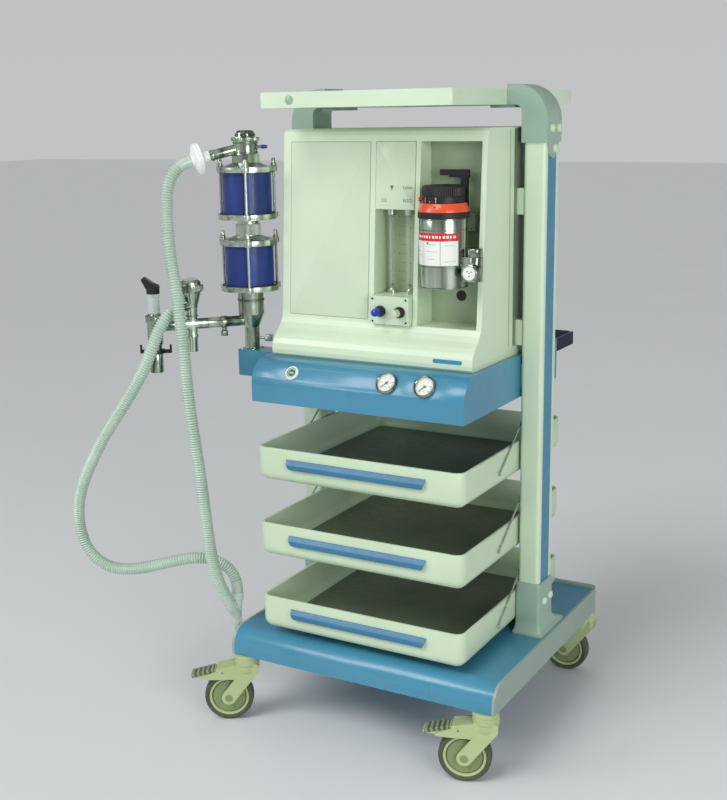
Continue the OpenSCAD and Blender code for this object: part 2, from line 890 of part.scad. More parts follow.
module top_valve() color([0.68, 0.72, 0.68]) place() {
    low = upper_high + plate_t + 8;
    difference() {
        union() {
            translate([post_x, post_y, low]) cylinder(h = 18, r = 31, $fn = 8);
            bar_z(post_x, post_y, low + 18, 1330, 27);
            bar_z(post_x, post_y, 1330, 1338, 31);
            taper_z(post_x, post_y, 1338, 1347, 22, 21);
            taper_z(post_x, post_y, 1347, 1353, 21, 13);
            port_bar(10, 84, 11, 11);
            port_bar(75, 79, 12.5, 12.5);
            // the small pressure nipple
            translate([post_x, post_y, valve_z]) rotate([0, 90, 22])
                cylinder(h = 46, r = 3.5);
        }
        port_bar(30, 85, 8, 8);
    }
}

module disc_filter() color([0.90, 0.93, 0.88]) place() {
    port_bar(84, 96, 13, 13);
    port_bar(95, filter_t - 6, 13, 30);
    port_bar(filter_t - 7, filter_t + 6, 35, 35);
    port_bar(filter_t + 5, filter_t + 12, 30, 14);
    port_bar(filter_t + 11, filter_t + 15, 13, 13);
}

// the second valve: dome, cone and lower body on the breathing arm
module second_valve() {
    x = post_x + second_t * arm_x;
    y = post_y + second_t * arm_y;
    taper_z(x, y, 1026, 1031, 23, 16);
    bar_z(x, y, 1020, 1026, 23);
    bar_z(x, y, 1007, 1020, 28);
    taper_z(x, y, 968, 1007, 13, 24);
    bar_z(x, y, 948, 968, 13);
    bar_z(x, y, 905, 948, 11.5);
    bar_z(x, y, 901, 906, 13);
    bar_z(x, y, 869, 901, 11);
    // the side port that takes the return hose
    strut([x, y, 974], hose_b_route[0], 10);
}

// the third unit carries the relief valve above and the bag port below
module third_unit() {
    x = post_x + third_t * arm_x;
    y = post_y + third_t * arm_y;
    bar_z(x, y, 942, 955, 20);
    bar_z(x, y, 892, 942, 17);
    bar_z(x, y, 870, 892, 14);
    bar_z(x, y, 828, 870, 15);
}

module breathing_arm() color([0.68, 0.72, 0.68]) place() {
    x3 = post_x + third_t * arm_x;
    y3 = post_y + third_t * arm_y;
    difference() {
        union() {
            arm_bar(arm_z, 0, third_t, 12);
            second_valve();
            third_unit();
            arm_bar(arm_z, 58, 70, 13.5);
            bar_z(post_x + 64 * arm_x, post_y + 64 * arm_y, arm_z - 20, arm_z, 5.5);
        }
        neck_solid();
        bar_z(post_x, post_y, table_top - 1, 908, 17);
        bar_z(post_x + 64 * arm_x, post_y + 64 * arm_y, arm_z - 21, arm_z - 10, 3.05);
        // the open bag port
        bar_z(x3, y3, 827, 862, 12);
    }
}

module apl_tube() color([0.85, 0.90, 0.85, 0.5]) place() {
    x = post_x + third_t * arm_x;
    y = post_y + third_t * arm_y;
    difference() {
        bar_z(x, y, 955, 1004, 13.5);
        bar_z(x, y, 962, 996, 10.5);
        bar_z(x, y, 995, 1005, 4.05);
    }
}

module apl_knob() color([0.05, 0.05, 0.05]) place() {
    x = post_x + third_t * arm_x;
    y = post_y + third_t * arm_y;
    bar_z(x, y, 997, 1010, 4);
    bar_z(x, y, 1004.3, 1018, 14.5);
    // the slanting thumb piece
    translate([x, y, 0]) rotate([0, 0, 30]) slab_y(-12, 12, [
        [-14, 1016], [14, 1016], [13, 1023], [2, 1027], [-19, 1041], [-24, 1036]
    ]);
}

module hose_hook() color([0.06, 0.06, 0.06]) place() {
    x = post_x + third_t * arm_x;
    y = post_y + third_t * arm_y;
    translate([x, y, 0]) rotate([0, 0, 30]) difference() {
        union() {
            bar_z(0, 0, 871, 879, 20);
            block(-35, 35, -4, 4, 871, 879);
            for (s = [-35, 31]) block(s, s + 4, -4, 4, 871, 890);
        }
        bar_z(0, 0, 870, 880, 14);
    }
}

module drain_knob() color([0.60, 0.62, 0.58]) place() {
    x = post_x + 64 * arm_x;
    y = post_y + 64 * arm_y;
    bar_z(x, y, arm_z - 22, arm_z - 11, 3);
    bar_z(x, y, arm_z - 32, arm_z - 20.3, 8);
}

module clamp_knob() color([0.66, 0.70, 0.66]) place() {
    translate([post_x, post_y, 890]) rotate([0, 90, 22]) {
        translate([0, 0, 13]) cylinder(h = 19, r = 3);
        translate([0, 0, 30]) cylinder(h = 18, r = 8);
    }
}

module supply_hose() color([0.80, 0.85, 0.80]) place() tube(hose_a_route, hose_r);

module return_hose() color([0.80, 0.85, 0.80]) place() tube(hose_b_route, hose_r);

module wye_piece() color([0.84, 0.90, 0.84]) place() {
    a = hose_a_route[len(hose_a_route) - 1];
    b = hose_b_route[len(hose_b_route) - 1];
    union() {
        strut(a, wye_mid, 12);
        strut(b, wye_mid, 12);
        translate(wye_mid) sphere(r = 13);
        strut(wye_mid, wye_end, 11);
    }
}

// ---- castors, drawn round their own stem axis ----

pivot_x = -56;
pivot_z = 121.3;

module fork(pedal) {
    side = wheel_w / 2 + 2;
    bar_z(0, 0, base_low - 2, base_low + 30, 6);
    bar_z(0, 0, 138, base_low - 0.3, 28.5);
    bar_z(0, 0, 120, 140, 26);
    for (y = [-side - 5, side]) {
        // the arm from the head down to the axle
        slab_y(y, y + 5, [
            [-24, 142], [24, 142], [28, 138], [28, 120], [19, 110],
            [-31.5, wheel_r - 9], [-54.5, wheel_r + 9], [-26, 106], [-24, 112]
        ]);
        bar_y(-trail, wheel_r, y, y + 5, 16.5);
        // the cheek that holds the pedal
        if (pedal) {
            slab_y(y, y + 5, [
                [-20, 139], [-30, 138], [-70, 131], [-70, 124], [-103, 111], [-106, 107],
                [-103, 105], [-80, 103.5], [-20, 103.5]
            ]);
        }
    }
    bar_y(-trail, wheel_r, -side - 7, side + 7, 5);
    block(-23, 20, -side - 1, side + 1, 134, 142);
    if (pedal) {
        slab_y(-side - 1, side + 1, [[-69, 127], [-69, 130], [-20, 138.5], [-20, 135.5]]);
        bar_y(pivot_x, pivot_z, -side - 1, side + 1, 3);
    }
}

module wheel() {
    difference() {
        bar_y(-trail, wheel_r, -wheel_w / 2, wheel_w / 2, wheel_r);
        bar_y(-trail, wheel_r, -wheel_w / 2 - 1, -wheel_w / 2 + 5, wheel_r - 15);
        bar_y(-trail, wheel_r, wheel_w / 2 - 5, wheel_w / 2 + 1, wheel_r - 15);
        bar_y(-trail, wheel_r, -wheel_w, wheel_w, 5.05);
    }
    difference() {
        bar_y(-trail, wheel_r, -wheel_w / 2, wheel_w / 2, 13);
        bar_y(-trail, wheel_r, -wheel_w, wheel_w, 5.05);
    }
}

module brake() {
    difference() {
        slab_y(-16.5, 16.5, [
            [-48.5, 116], [-48.5, 126.2], [-71.5, 126.2], [-71.5, 130], [-131, 115.5],
            [-133, 112], [-131, 109], [-122, 107], [-90, 105], [-60, 116]
        ]);
        bar_y(pivot_x, pivot_z, -18, 18, 3.05);
    }
}

module at_stem(x, y, turn = 0) translate([x, y, 0]) rotate([0, 0, turn]) children();

module fork_front_left() color([0.74, 0.75, 0.60]) place()
    at_stem(-stem_x, stem_front, turn_left) fork(true);

module fork_front_right() color([0.74, 0.75, 0.60]) place()
    at_stem(stem_x, stem_front, turn_right) fork(true);

module fork_rear_left() color([0.74, 0.75, 0.60]) place() at_stem(-stem_x, stem_back) fork(false);

module fork_rear_right() color([0.74, 0.75, 0.60]) place() at_stem(stem_x, stem_back) fork(false);

module wheel_front_left() color([0.40, 0.42, 0.30]) place()
    at_stem(-stem_x, stem_front, turn_left) wheel();

module wheel_front_right() color([0.40, 0.42, 0.30]) place()
    at_stem(stem_x, stem_front, turn_right) wheel();

module wheel_rear_left() color([0.40, 0.42, 0.30]) place() at_stem(-stem_x, stem_back) wheel();

module wheel_rear_right() color([0.40, 0.42, 0.30]) place() at_stem(stem_x, stem_back) wheel();

module brake_left() color([0.74, 0.75, 0.60]) place()
    at_stem(-stem_x, stem_front, turn_left) brake();

module brake_right() color([0.74, 0.75, 0.60]) place()
    at_stem(stem_x, stem_front, turn_right) brake();

// ---- choice of piece ----

base_deck();
base_rim();
columns();
column_stripes();
column_feet();
column_elbows();
dome_screws();
top_shelf();
cabinet_shell();
cabinet_spacers();
blank_panel();
flow_panel();
flow_tubes();
flow_block();
oxygen_knob();
nitrous_knob();
vaporizer_mount();
vaporizer_body();
vaporizer_ring();
vaporizer_dial();
vaporizer_button();
vaporizer_lever();
filler_cap();
table_body();
table_bezels();
gauge_faces();
oxygen_needle();
nitrous_needle();
flush_button();
absorber_arm();
upper_tray();
middle_tray();
lower_tray();
tray_handles();
tray_stays();
absorber_neck();
canister_plates();
canister_cylinders();
tie_rods();
top_valve();
breathing_arm();
apl_tube();
apl_knob();
hose_hook();
disc_filter();
drain_knob();
clamp_knob();
supply_hose();
return_hose();
wye_piece();
fork_front_left();
fork_front_right();
fork_rear_left();
fork_rear_right();
wheel_front_left();
wheel_front_right();
wheel_rear_left();
wheel_rear_right();
brake_left();
brake_right();
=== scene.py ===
"""Look of the veterinary anesthesia machine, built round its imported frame.

Lengths in this script are millimetres in the layout of part.scad (x = 0 in the
middle plane of the trolley, z = 0 on the floor); at() turns them into the row
frame in metres.
"""
import math

import bmesh
import bpy
from mathutils import Matrix, Vector


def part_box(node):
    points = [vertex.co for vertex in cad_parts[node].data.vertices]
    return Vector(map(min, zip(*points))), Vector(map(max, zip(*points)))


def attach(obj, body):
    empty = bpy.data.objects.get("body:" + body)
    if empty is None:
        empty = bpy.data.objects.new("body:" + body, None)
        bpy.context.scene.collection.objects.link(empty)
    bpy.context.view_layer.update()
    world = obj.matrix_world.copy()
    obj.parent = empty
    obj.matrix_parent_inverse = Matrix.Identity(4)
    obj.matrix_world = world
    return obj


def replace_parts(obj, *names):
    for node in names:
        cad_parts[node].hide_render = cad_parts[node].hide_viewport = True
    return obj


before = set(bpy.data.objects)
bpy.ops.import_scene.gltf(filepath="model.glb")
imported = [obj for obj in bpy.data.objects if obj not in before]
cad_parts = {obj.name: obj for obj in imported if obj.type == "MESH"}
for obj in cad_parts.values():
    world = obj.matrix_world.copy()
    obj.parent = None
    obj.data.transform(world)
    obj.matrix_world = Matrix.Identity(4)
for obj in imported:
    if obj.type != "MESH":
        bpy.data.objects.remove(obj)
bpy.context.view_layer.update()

MM = 0.001
RIM_LOW, RIM_HIGH = (Vector(corner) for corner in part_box("base_rim"))
BASE_FRONT = -170
SHIFT = Vector(((RIM_LOW.x + RIM_HIGH.x) / 2, RIM_LOW.y - BASE_FRONT * MM, 0))
UP = Vector((0, 0, 1))


def at(x, y, z):
    """A point of the layout, in the row frame."""
    return Vector((x, y, z)) * MM + SHIFT


# ---------------------------------------------------------------- camera

CAMERA_PLACE = (1262.2, -2315.2, 1384.9)
CAMERA_TURN = math.radians(-29.836)
CAMERA_PITCH = math.radians(-13.166)
CAMERA_ROLL = math.radians(-0.926)
SENSOR_WIDTH, LENS = 36, 55.14


def make_camera():
    camera = bpy.data.objects.new("camera", bpy.data.cameras.new("camera"))
    bpy.context.scene.collection.objects.link(camera)
    bpy.context.scene.camera = camera
    camera.data.sensor_width = SENSOR_WIDTH
    camera.data.lens = LENS
    camera.matrix_world = (Matrix.Translation(at(*CAMERA_PLACE))
                           @ Matrix.Rotation(-CAMERA_TURN, 4, "Z")
                           @ Matrix.Rotation(math.pi / 2 + CAMERA_PITCH, 4, "X")
                           @ Matrix.Rotation(CAMERA_ROLL, 4, "Z"))


make_camera()

# ---------------------------------------------------------------- materials


# the materials that stand for a slot of the record with another name
SLOT_MATERIALS = {
    "cream_paint": "panel_paint recess_paint seam_green shadow_paint pale_floor",
    "cream_tray": "tray_plastic tray_liner mat_grey", "blue_shell": "blue_paint",
    "blue_stripe": "stripe_blue grip_blue navy_mat", "grey_edge": "edge_grey",
    "grey_cast": "cast_grey", "chrome_metal": "chrome", "steel_rod": "satin_steel dark_steel",
    "black_plastic": "black_rubber ink", "orange_ring": "orange_paint",
    "red_button": "red_plastic red_ink", "grey_metal": "mount_grey soft_ink",
    "green_button": "green_plastic", "gauge_white": "dial_white white_ink",
    "castor_cream": "castor_hub dark_tread", "castor_tyre": "tyre_rubber tread_grey",
    "blue_clear": "clear_acrylic blue_liner", "clear_tube": "gauge_glass tube_glass",
    "relief_clear": "port_clear", "hose_clear": "hose_plastic",
}
SLOTS = {name: slot for slot, names in SLOT_MATERIALS.items() for name in names.split()}


class Shader:
    """A principled material that is put together node by node."""

    def __init__(self, name, roughness=0.4, metallic=0.0, **sockets):
        self.material = bpy.data.materials.new(name)
        self.material.use_nodes = True
        self.tree = self.material.node_tree
        self.main = self.tree.nodes["Principled BSDF"]
        self.main.inputs["Roughness"].default_value = roughness
        self.main.inputs["Metallic"].default_value = metallic
        for socket, value in sockets.items():
            self.main.inputs[socket.replace("_", " ")].default_value = value
        self.material["slot"] = SLOTS.get(name, name)
        self.coords = self.add("ShaderNodeTexCoord").outputs["Object"]

    def add(self, kind, **fields):
        node = self.tree.nodes.new(kind)
        for field, value in fields.items():
            setattr(node, field, value)
        return node

    def link(self, a, b):
        self.tree.links.new(a, b)

    def noise(self, scale, detail=3.0, stretch=None, distortion=0.0):
        node = self.add("ShaderNodeTexNoise")
        node.inputs["Scale"].default_value = scale
        node.inputs["Detail"].default_value = detail
        node.inputs["Distortion"].default_value = distortion
        source = self.coords
        if stretch:
            mapping = self.add("ShaderNodeMapping")
            mapping.inputs["Scale"].default_value = stretch
            self.link(source, mapping.inputs["Vector"])
            source = mapping.outputs["Vector"]
        self.link(source, node.inputs["Vector"])
        return node.outputs["Fac"]

    def cells(self, scale):
        node = self.add("ShaderNodeTexVoronoi")
        node.inputs["Scale"].default_value = scale
        self.link(self.coords, node.inputs["Vector"])
        return node.outputs["Distance"]

    def ramp(self, source, *stops):
        node = self.add("ShaderNodeValToRGB")
        steps = node.color_ramp.elements
        while len(steps) < len(stops):
            steps.new(0.5)
        for step, (place, colour) in zip(steps, stops):
            step.position = place
            step.color = (*colour, 1.0) if len(colour) == 3 else colour
        self.link(source, node.inputs["Fac"])
        return node.outputs["Color"]

    def speckled(self, colour, scale, depth):
        """The colour, darkened a little in fine specks."""
        node = self.add("ShaderNodeMix", data_type="RGBA", blend_type="MULTIPLY")
        node.inputs["Factor"].default_value = 1.0
        specks = self.ramp(self.noise(scale, 2.0), (0.35, (1 - depth,) * 3), (0.65, (1.0,) * 3))
        self.link(colour, node.inputs[6])
        self.link(specks, node.inputs[7])
        return node.outputs[2]

    def span(self, source, low, high, start=0.3, end=0.7):
        node = self.add("ShaderNodeMapRange")
        for socket, value in (("From Min", start), ("From Max", end),
                              ("To Min", low), ("To Max", high)):
            node.inputs[socket].default_value = value
        self.link(source, node.inputs["Value"])
        return node.outputs["Result"]

    def bump(self, height, strength, distance=0.001):
        node = self.add("ShaderNodeBump")
        node.inputs["Strength"].default_value = strength
        node.inputs["Distance"].default_value = distance
        if self.main.inputs["Normal"].is_linked:
            self.link(self.main.inputs["Normal"].links[0].from_socket, node.inputs["Normal"])
        self.link(height, node.inputs["Height"])
        self.link(node.outputs["Normal"], self.main.inputs["Normal"])

    def colour(self, source):
        self.link(source, self.main.inputs["Base Color"])

    def rough(self, source):
        self.link(source, self.main.inputs["Roughness"])


def linear(red, green, blue):
    """An sRGB colour of 0 to 255 as linear values."""
    values = []
    for part in (red, green, blue):
        part /= 255
        values.append(part / 12.92 if part <= 0.04045 else ((part + 0.055) / 1.055) ** 2.4)
    return tuple(values)


def shade(colour, factor):
    return tuple(min(1.0, part * factor) for part in colour)


def painted(name, colour, roughness=0.36, grain=0.05, orange_peel=0.12, coat=0.25):
    """Sprayed paint: a slow drift of tone, fine speckle, orange peel, and duller patches."""
    s = Shader(name, roughness, Coat_Weight=coat, Coat_Roughness=0.18)
    drift = s.noise(5.0, 4.0)
    tone = s.ramp(drift, (0.25, shade(colour, 1 - grain)), (0.75, shade(colour, 1 + grain)))
    s.colour(s.speckled(tone, 900.0, 0.06))
    s.rough(s.span(s.noise(11.0, 3.0), roughness - 0.05, roughness + 0.08))
    s.bump(s.noise(520.0, 2.0), orange_peel, 0.0003)
    return s.material


def moulded(name, colour, roughness=0.42, grain=0.04, pits=0.25):
    """Moulded plastic: fine spark grain and a little tone drift."""
    s = Shader(name, roughness, Coat_Weight=0.08, Coat_Roughness=0.3)
    drift = s.noise(9.0, 5.0)
    tone = s.ramp(drift, (0.3, shade(colour, 1 - grain)), (0.7, shade(colour, 1 + grain)))
    s.colour(s.speckled(tone, 1100.0, 0.08))
    fine = s.noise(1400.0, 2.0)
    s.rough(s.span(s.noise(60.0, 4.0), roughness - 0.06, roughness + 0.08))
    s.bump(fine, pits, 0.0002)
    return s.material


def plated(name, colour, roughness=0.16, stretch=(1, 1, 0.08), lines=0.12, dark=0.8):
    """Plated or brushed metal: fine lines, and darker and lighter streaks along stretch, which on
    brushed metal are grain and on chrome are painted reflection; and cloudy wear.
    """
    s = Shader(name, roughness, 1.0)
    cloud = s.noise(26.0, 5.0, distortion=0.4)
    streaks = s.noise(46.0, 3.0, stretch)
    s.colour(s.ramp(streaks, (0.36, shade(colour, dark)), (0.5, shade(colour, 1.0)),
                    (0.62, shade(colour, 1.35))))
    s.rough(s.span(cloud, roughness * 0.7, roughness * 1.5))
    s.bump(s.noise(900.0, 3.0, stretch), lines, 0.0003)
    return s.material


def clear(name, colour, roughness=0.06, alpha=0.3, transmission=0.0):
    s = Shader(name, roughness, Alpha=alpha, IOR=1.49, Transmission_Weight=transmission)
    s.colour(s.ramp(s.noise(30.0, 3.0), (0.3, shade(colour, 0.96)), (0.7, colour)))
    s.rough(s.span(s.noise(80.0, 5.0), roughness * 0.7, roughness * 1.8))
    return s.material


CREAM = linear(208, 228, 200)
TRAY_CREAM = linear(198, 218, 188)
SKY_BLUE = linear(64, 136, 166)
STRIPE_BLUE = linear(54, 132, 164)
EDGE_GREY = linear(142, 165, 152)
CAST_GREY = linear(150, 176, 160)
CHROME = linear(168, 181, 163)
CASTOR_CREAM = linear(178, 192, 140)

cream_paint = painted("cream_paint", CREAM, 0.34)
panel_paint = painted("panel_paint", shade(CREAM, 0.94), 0.38)
tray_plastic = moulded("tray_plastic", TRAY_CREAM, 0.36, pits=0.12)
# partly painted shade: this darker grey-green on the recess backs also stands in for the shade
# inside the recesses
recess_paint = painted("recess_paint", linear(158, 178, 145), 0.42)
# partly painted shade: the dark tray-floor mats also stand in for the shade inside the trays
tray_liner = moulded("tray_liner", linear(92, 104, 84), 0.5, grain=0.12, pits=0.6)
mat_grey = moulded("mat_grey", linear(150, 164, 146), 0.6, grain=0.08, pits=0.6)
blue_paint = painted("blue_paint", SKY_BLUE, 0.30, grain=0.08, orange_peel=0.2, coat=0.4)
stripe_blue = moulded("stripe_blue", STRIPE_BLUE, 0.34, grain=0.07)
grip_blue = moulded("grip_blue", linear(48, 114, 150), 0.36, grain=0.07)
edge_grey = painted("edge_grey", EDGE_GREY, 0.42)
cast_grey = painted("cast_grey", CAST_GREY, 0.34, grain=0.06, orange_peel=0.18)
cream_cap = moulded("cream_cap", shade(CREAM, 0.98), 0.3)
# painted reflection: on chrome, dark=0.35 and the 1.35 step make strong upright dark and light
# bands in the colour that stand for reflections
chrome = plated("chrome", CHROME, 0.17, (1, 1, 0.02), dark=0.35)
satin_steel = plated("satin_steel", linear(190, 198, 186), 0.24)
dark_steel = plated("dark_steel", linear(120, 128, 118), 0.3)
black_plastic = moulded("black_plastic", linear(12, 13, 13), 0.5, grain=0.15)
black_rubber = moulded("black_rubber", linear(30, 31, 30), 0.7, grain=0.2, pits=0.5)
orange_paint = painted("orange_paint", linear(226, 82, 48), 0.3, grain=0.05)
red_plastic = moulded("red_plastic", linear(200, 34, 28), 0.3)
mount_grey = painted("mount_grey", linear(128, 140, 122), 0.4)
seam_green = painted("seam_green", linear(150, 170, 142), 0.5)
shadow_paint = painted("shadow_paint", linear(112, 128, 102), 0.5)
blue_knob = moulded("blue_knob", linear(20, 52, 170), 0.28)
pale_knob = moulded("pale_knob", linear(196, 206, 182), 0.3)
green_plastic = moulded("green_plastic", linear(20, 118, 62), 0.28)
dial_white = moulded("dial_white", linear(238, 241, 232), 0.45, grain=0.02)
ink = moulded("ink", linear(34, 38, 36), 0.5, grain=0.1)
soft_ink = moulded("soft_ink", linear(92, 112, 92), 0.5, grain=0.1)
white_ink = moulded("white_ink", linear(232, 236, 228), 0.5, grain=0.03)
red_ink = moulded("red_ink", linear(214, 24, 28), 0.42, grain=0.03)
castor_cream = moulded("castor_cream", CASTOR_CREAM, 0.4, grain=0.06)
castor_hub = moulded("castor_hub", linear(130, 146, 98), 0.42, grain=0.07)
tyre_rubber = moulded("tyre_rubber", linear(74, 80, 58), 0.62, grain=0.14, pits=0.6)
tread_grey = moulded("tread_grey", linear(136, 150, 116), 0.55, grain=0.1, pits=0.5)
dark_tread = moulded("dark_tread", linear(76, 90, 66), 0.6, grain=0.12, pits=0.5)
# partly painted shade: the very dark navy of the table's rear lip and its mat also stands in for
# the lip lying in shade
navy_mat = moulded("navy_mat", linear(6, 12, 46), 0.75, grain=0.15, pits=0.6)
filter_white = moulded("filter_white", linear(246, 250, 246), 0.3, grain=0.02)
clear_acrylic = clear("clear_acrylic", linear(60, 110, 190), 0.05, alpha=0.08)
gauge_glass = clear("gauge_glass", linear(240, 246, 244), 0.03, alpha=0.1)
tube_glass = clear("tube_glass", linear(206, 220, 206), 0.06, alpha=0.16)
port_clear = clear("port_clear", linear(214, 228, 218), 0.08, alpha=0.5)


def hose_material():
    """Milky corrugated plastic."""
    s = Shader("hose_plastic", 0.3, Coat_Weight=0.3, Coat_Roughness=0.2)
    colour = linear(188, 210, 194)
    s.colour(s.ramp(s.noise(16.0, 4.0), (0.3, shade(colour, 0.86)), (0.7, colour)))
    s.rough(s.span(s.noise(90.0, 4.0), 0.22, 0.4))
    s.bump(s.noise(700.0, 2.0), 0.1, 0.0003)
    return s.material


def liner_material():
    """Blue liner with a close pattern of small holes."""
    s = Shader("blue_liner", 0.4, Coat_Weight=0.15, Coat_Roughness=0.1)
    deep, bright = linear(8, 34, 120), linear(26, 70, 168)
    holes = s.cells(420.0)
    streaks = s.noise(40.0, 3.0, (1, 1, 0.04))
    tones = s.ramp(streaks, (0.4, shade(deep, 0.55)), (0.55, deep), (0.7, bright))
    s.colour(s.speckled(tones, 500.0, 0.3))
    s.bump(holes, 0.35, 0.0008)
    s.rough(s.span(s.noise(50.0, 4.0), 0.34, 0.5))
    return s.material


hose_plastic = hose_material()
blue_liner = liner_material()

# ---------------------------------------------------------------- mesh helpers

SMOOTH, HARD_EDGE = math.radians(34), math.radians(40)
X, Y, Z = Vector((1, 0, 0)), Vector((0, 1, 0)), Vector((0, 0, 1))


def round_edges(piece, width, segments):
    """A bevel on the hard edges only; width is in millimetres."""
    rounding = piece.modifiers.new("rounding", "BEVEL")
    rounding.width = width * MM
    rounding.segments = segments
    rounding.limit_method = "ANGLE"
    rounding.angle_limit = HARD_EDGE
    return rounding


def finish_mesh(name, bm, material, body="frame", bevel=0.0, segments=2):
    """Makes an object of bm, smooths it up to its sharp edges, and hangs it on its body."""
    bmesh.ops.recalc_face_normals(bm, faces=bm.faces)
    mesh = bpy.data.meshes.new(name)
    bm.to_mesh(mesh)
    bm.free()
    mesh.shade_smooth()
    mesh.set_sharp_from_angle(angle=SMOOTH)
    mesh.materials.append(material)
    piece = bpy.data.objects.new(name, mesh)
    bpy.context.scene.collection.objects.link(piece)
    if bevel:
        round_edges(piece, bevel, segments).harden_normals = True
    if body:
        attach(piece, body)
    return piece


def basis(axis):
    """Two directions square to axis."""
    axis = Vector(axis).normalized()
    other = Vector((1, 0, 0)) if abs(axis.z) > 0.9 else UP
    u = axis.cross(other).normalized()
    return u, axis.cross(u)


def spoke(angle):
    """Level directions out along an angle in radians, and square to it."""
    return (Vector((math.cos(angle), math.sin(angle), 0)),
            Vector((-math.sin(angle), math.cos(angle), 0)))


def join_rings(bm, low, high):
    n = max(len(low), len(high))
    for k in range(n):
        corners = [low[k % len(low)], low[(k + 1) % len(low)],
                   high[(k + 1) % len(high)], high[k % len(high)]]
        unique = [c for i, c in enumerate(corners) if c not in corners[:i]]
        if len(unique) > 2:
            bm.faces.new(unique)


def add_skin(bm, rings):
    """Faces from each ring to the next, and over both ends."""
    for low, high in zip(rings, rings[1:]):
        join_rings(bm, low, high)
    for end in (rings[0], rings[-1]):
        if len(end) > 1:
            bm.faces.new(end)


def round_ring(bm, middle, u, v, radius, sides):
    """Points round middle in the plane of u and v; radius is in metres."""
    return [bm.verts.new(middle + (u * math.cos(2 * math.pi * k / sides)
                                   + v * math.sin(2 * math.pi * k / sides)) * radius)
            for k in range(sides)]


def add_turned(bm, centre, axis, profile, sides=48, wave=None, ring=False):
    """A turned shape. profile is (radius, height) pairs along axis; wave(angle, radius, height)
    may change a radius, as on a ribbed knob; ring closes the profile on itself."""
    axis = Vector(axis).normalized()
    u, v = basis(axis)
    rings = []
    for radius, height in profile:
        middle = centre + axis * height * MM
        if radius <= 0:
            rings.append([bm.verts.new(middle)])
            continue
        corners = []
        for k in range(sides):
            a = 2 * math.pi * k / sides
            r = (wave(a, radius, height) if wave else radius) * MM
            corners.append(bm.verts.new(middle + (u * math.cos(a) + v * math.sin(a)) * r))
        rings.append(corners)
    if not ring:
        add_skin(bm, rings)
        return
    for k, low in enumerate(rings):
        join_rings(bm, low, rings[(k + 1) % len(rings)])


def lathe(name, centre, axis, profile, material, body="frame", **options):
    bm = bmesh.new()
    add_turned(bm, centre, axis, profile, **options)
    return finish_mesh(name, bm, material, body)


def ribs(count, depth, low=None, high=None):
    """A wave of count ribs that cut depth into the radius between two heights."""
    def wave(angle, radius, height):
        if low is not None and not low <= height <= high:
            return radius
        return radius - depth * (0.5 - 0.5 * math.cos(count * angle)) ** 2
    return wave


def add_box(bm, centre, size, turn=None):
    """A box of size in millimetres round centre; turn is a 3x3 rotation."""
    turn = turn or Matrix.Identity(3)
    grown = Matrix.Diagonal([part * MM for part in size])
    bmesh.ops.create_cube(bm, size=1.0, matrix=Matrix.Translation(centre) @ (turn @ grown).to_4x4())


def add_span(bm, low, high):
    """A box between two corners of the layout."""
    middle = [(a + b) / 2 for a, b in zip(low, high)]
    add_box(bm, at(*middle), [b - a for a, b in zip(low, high)])


def boxes(name, spans, material, body="frame", bevel=0.0):
    """One piece made of boxes, each between two corners of the layout."""
    bm = bmesh.new()
    for low, high in spans:
        add_span(bm, low, high)
    return finish_mesh(name, bm, material, body, bevel)


def axes(u, v, w):
    """A rotation whose columns are the three directions."""
    return Matrix((Vector(u), Vector(v), Vector(w))).transposed()


def add_plate(bm, outline, base, u, v, depth):
    """An outline of (u, v) pairs, pulled out by depth along u x v."""
    out = Vector(u).cross(Vector(v)).normalized() * depth * MM
    low = [bm.verts.new(base + Vector(u) * a * MM + Vector(v) * b * MM) for a, b in outline]
    high = [bm.verts.new(corner.co + out) for corner in low]
    join_rings(bm, low, high)
    bm.faces.new(low)
    bm.faces.new(high)


def plate(name, outline, base, u, v, depth, material, body="frame", bevel=0.0, segments=2):
    bm = bmesh.new()
    add_plate(bm, outline, base, u, v, depth)
    return finish_mesh(name, bm, material, body, bevel, segments)


def arc(x, y, r, start, end, steps=10):
    """Points on a round stretch of an outline; angles in degrees."""
    turns = [math.radians(start + (end - start) * k / steps) for k in range(steps + 1)]
    return [(x + r * math.cos(a), y + r * math.sin(a)) for a in turns]


def rounded(x0, x1, y0, y1, r, steps=6):
    """The outline of a rectangle with round corners."""
    return (arc(x1 - r, y0 + r, r, -90, 0, steps) + arc(x1 - r, y1 - r, r, 0, 90, steps)
            + arc(x0 + r, y1 - r, r, 90, 180, steps) + arc(x0 + r, y0 + r, r, 180, 270, steps))


def add_loft(bm, levels):
    """Rings of (outline, z) joined from one to the next, in the layout."""
    add_skin(bm, [[bm.verts.new(at(x, y, z)) for x, y in outline] for outline, z in levels])


def loft(name, levels, material, body="frame"):
    bm = bmesh.new()
    add_loft(bm, levels)
    return finish_mesh(name, bm, material, body)


def add_wrap(bm, centre, radius, start, end, z0, z1, thick=0.25):
    """A thin plate bent round an upright axis; centre is on the floor, angles in degrees."""
    steps = max(1, round(abs(end - start) / 4))
    rows = []
    for k in range(steps + 1):
        a = math.radians(start + (end - start) * k / steps)
        rows.append([bm.verts.new(centre + spoke(a)[0] * r * MM + UP * z * MM)
                     for r, z in ((radius, z0), (radius + thick, z0),
                                  (radius + thick, z1), (radius, z1))])
    add_skin(bm, rows)


def wrap(name, centre, radius, start, end, z0, z1, material, thick=0.25):
    bm = bmesh.new()
    add_wrap(bm, centre, radius, start, end, z0, z1, thick)
    return finish_mesh(name, bm, material)


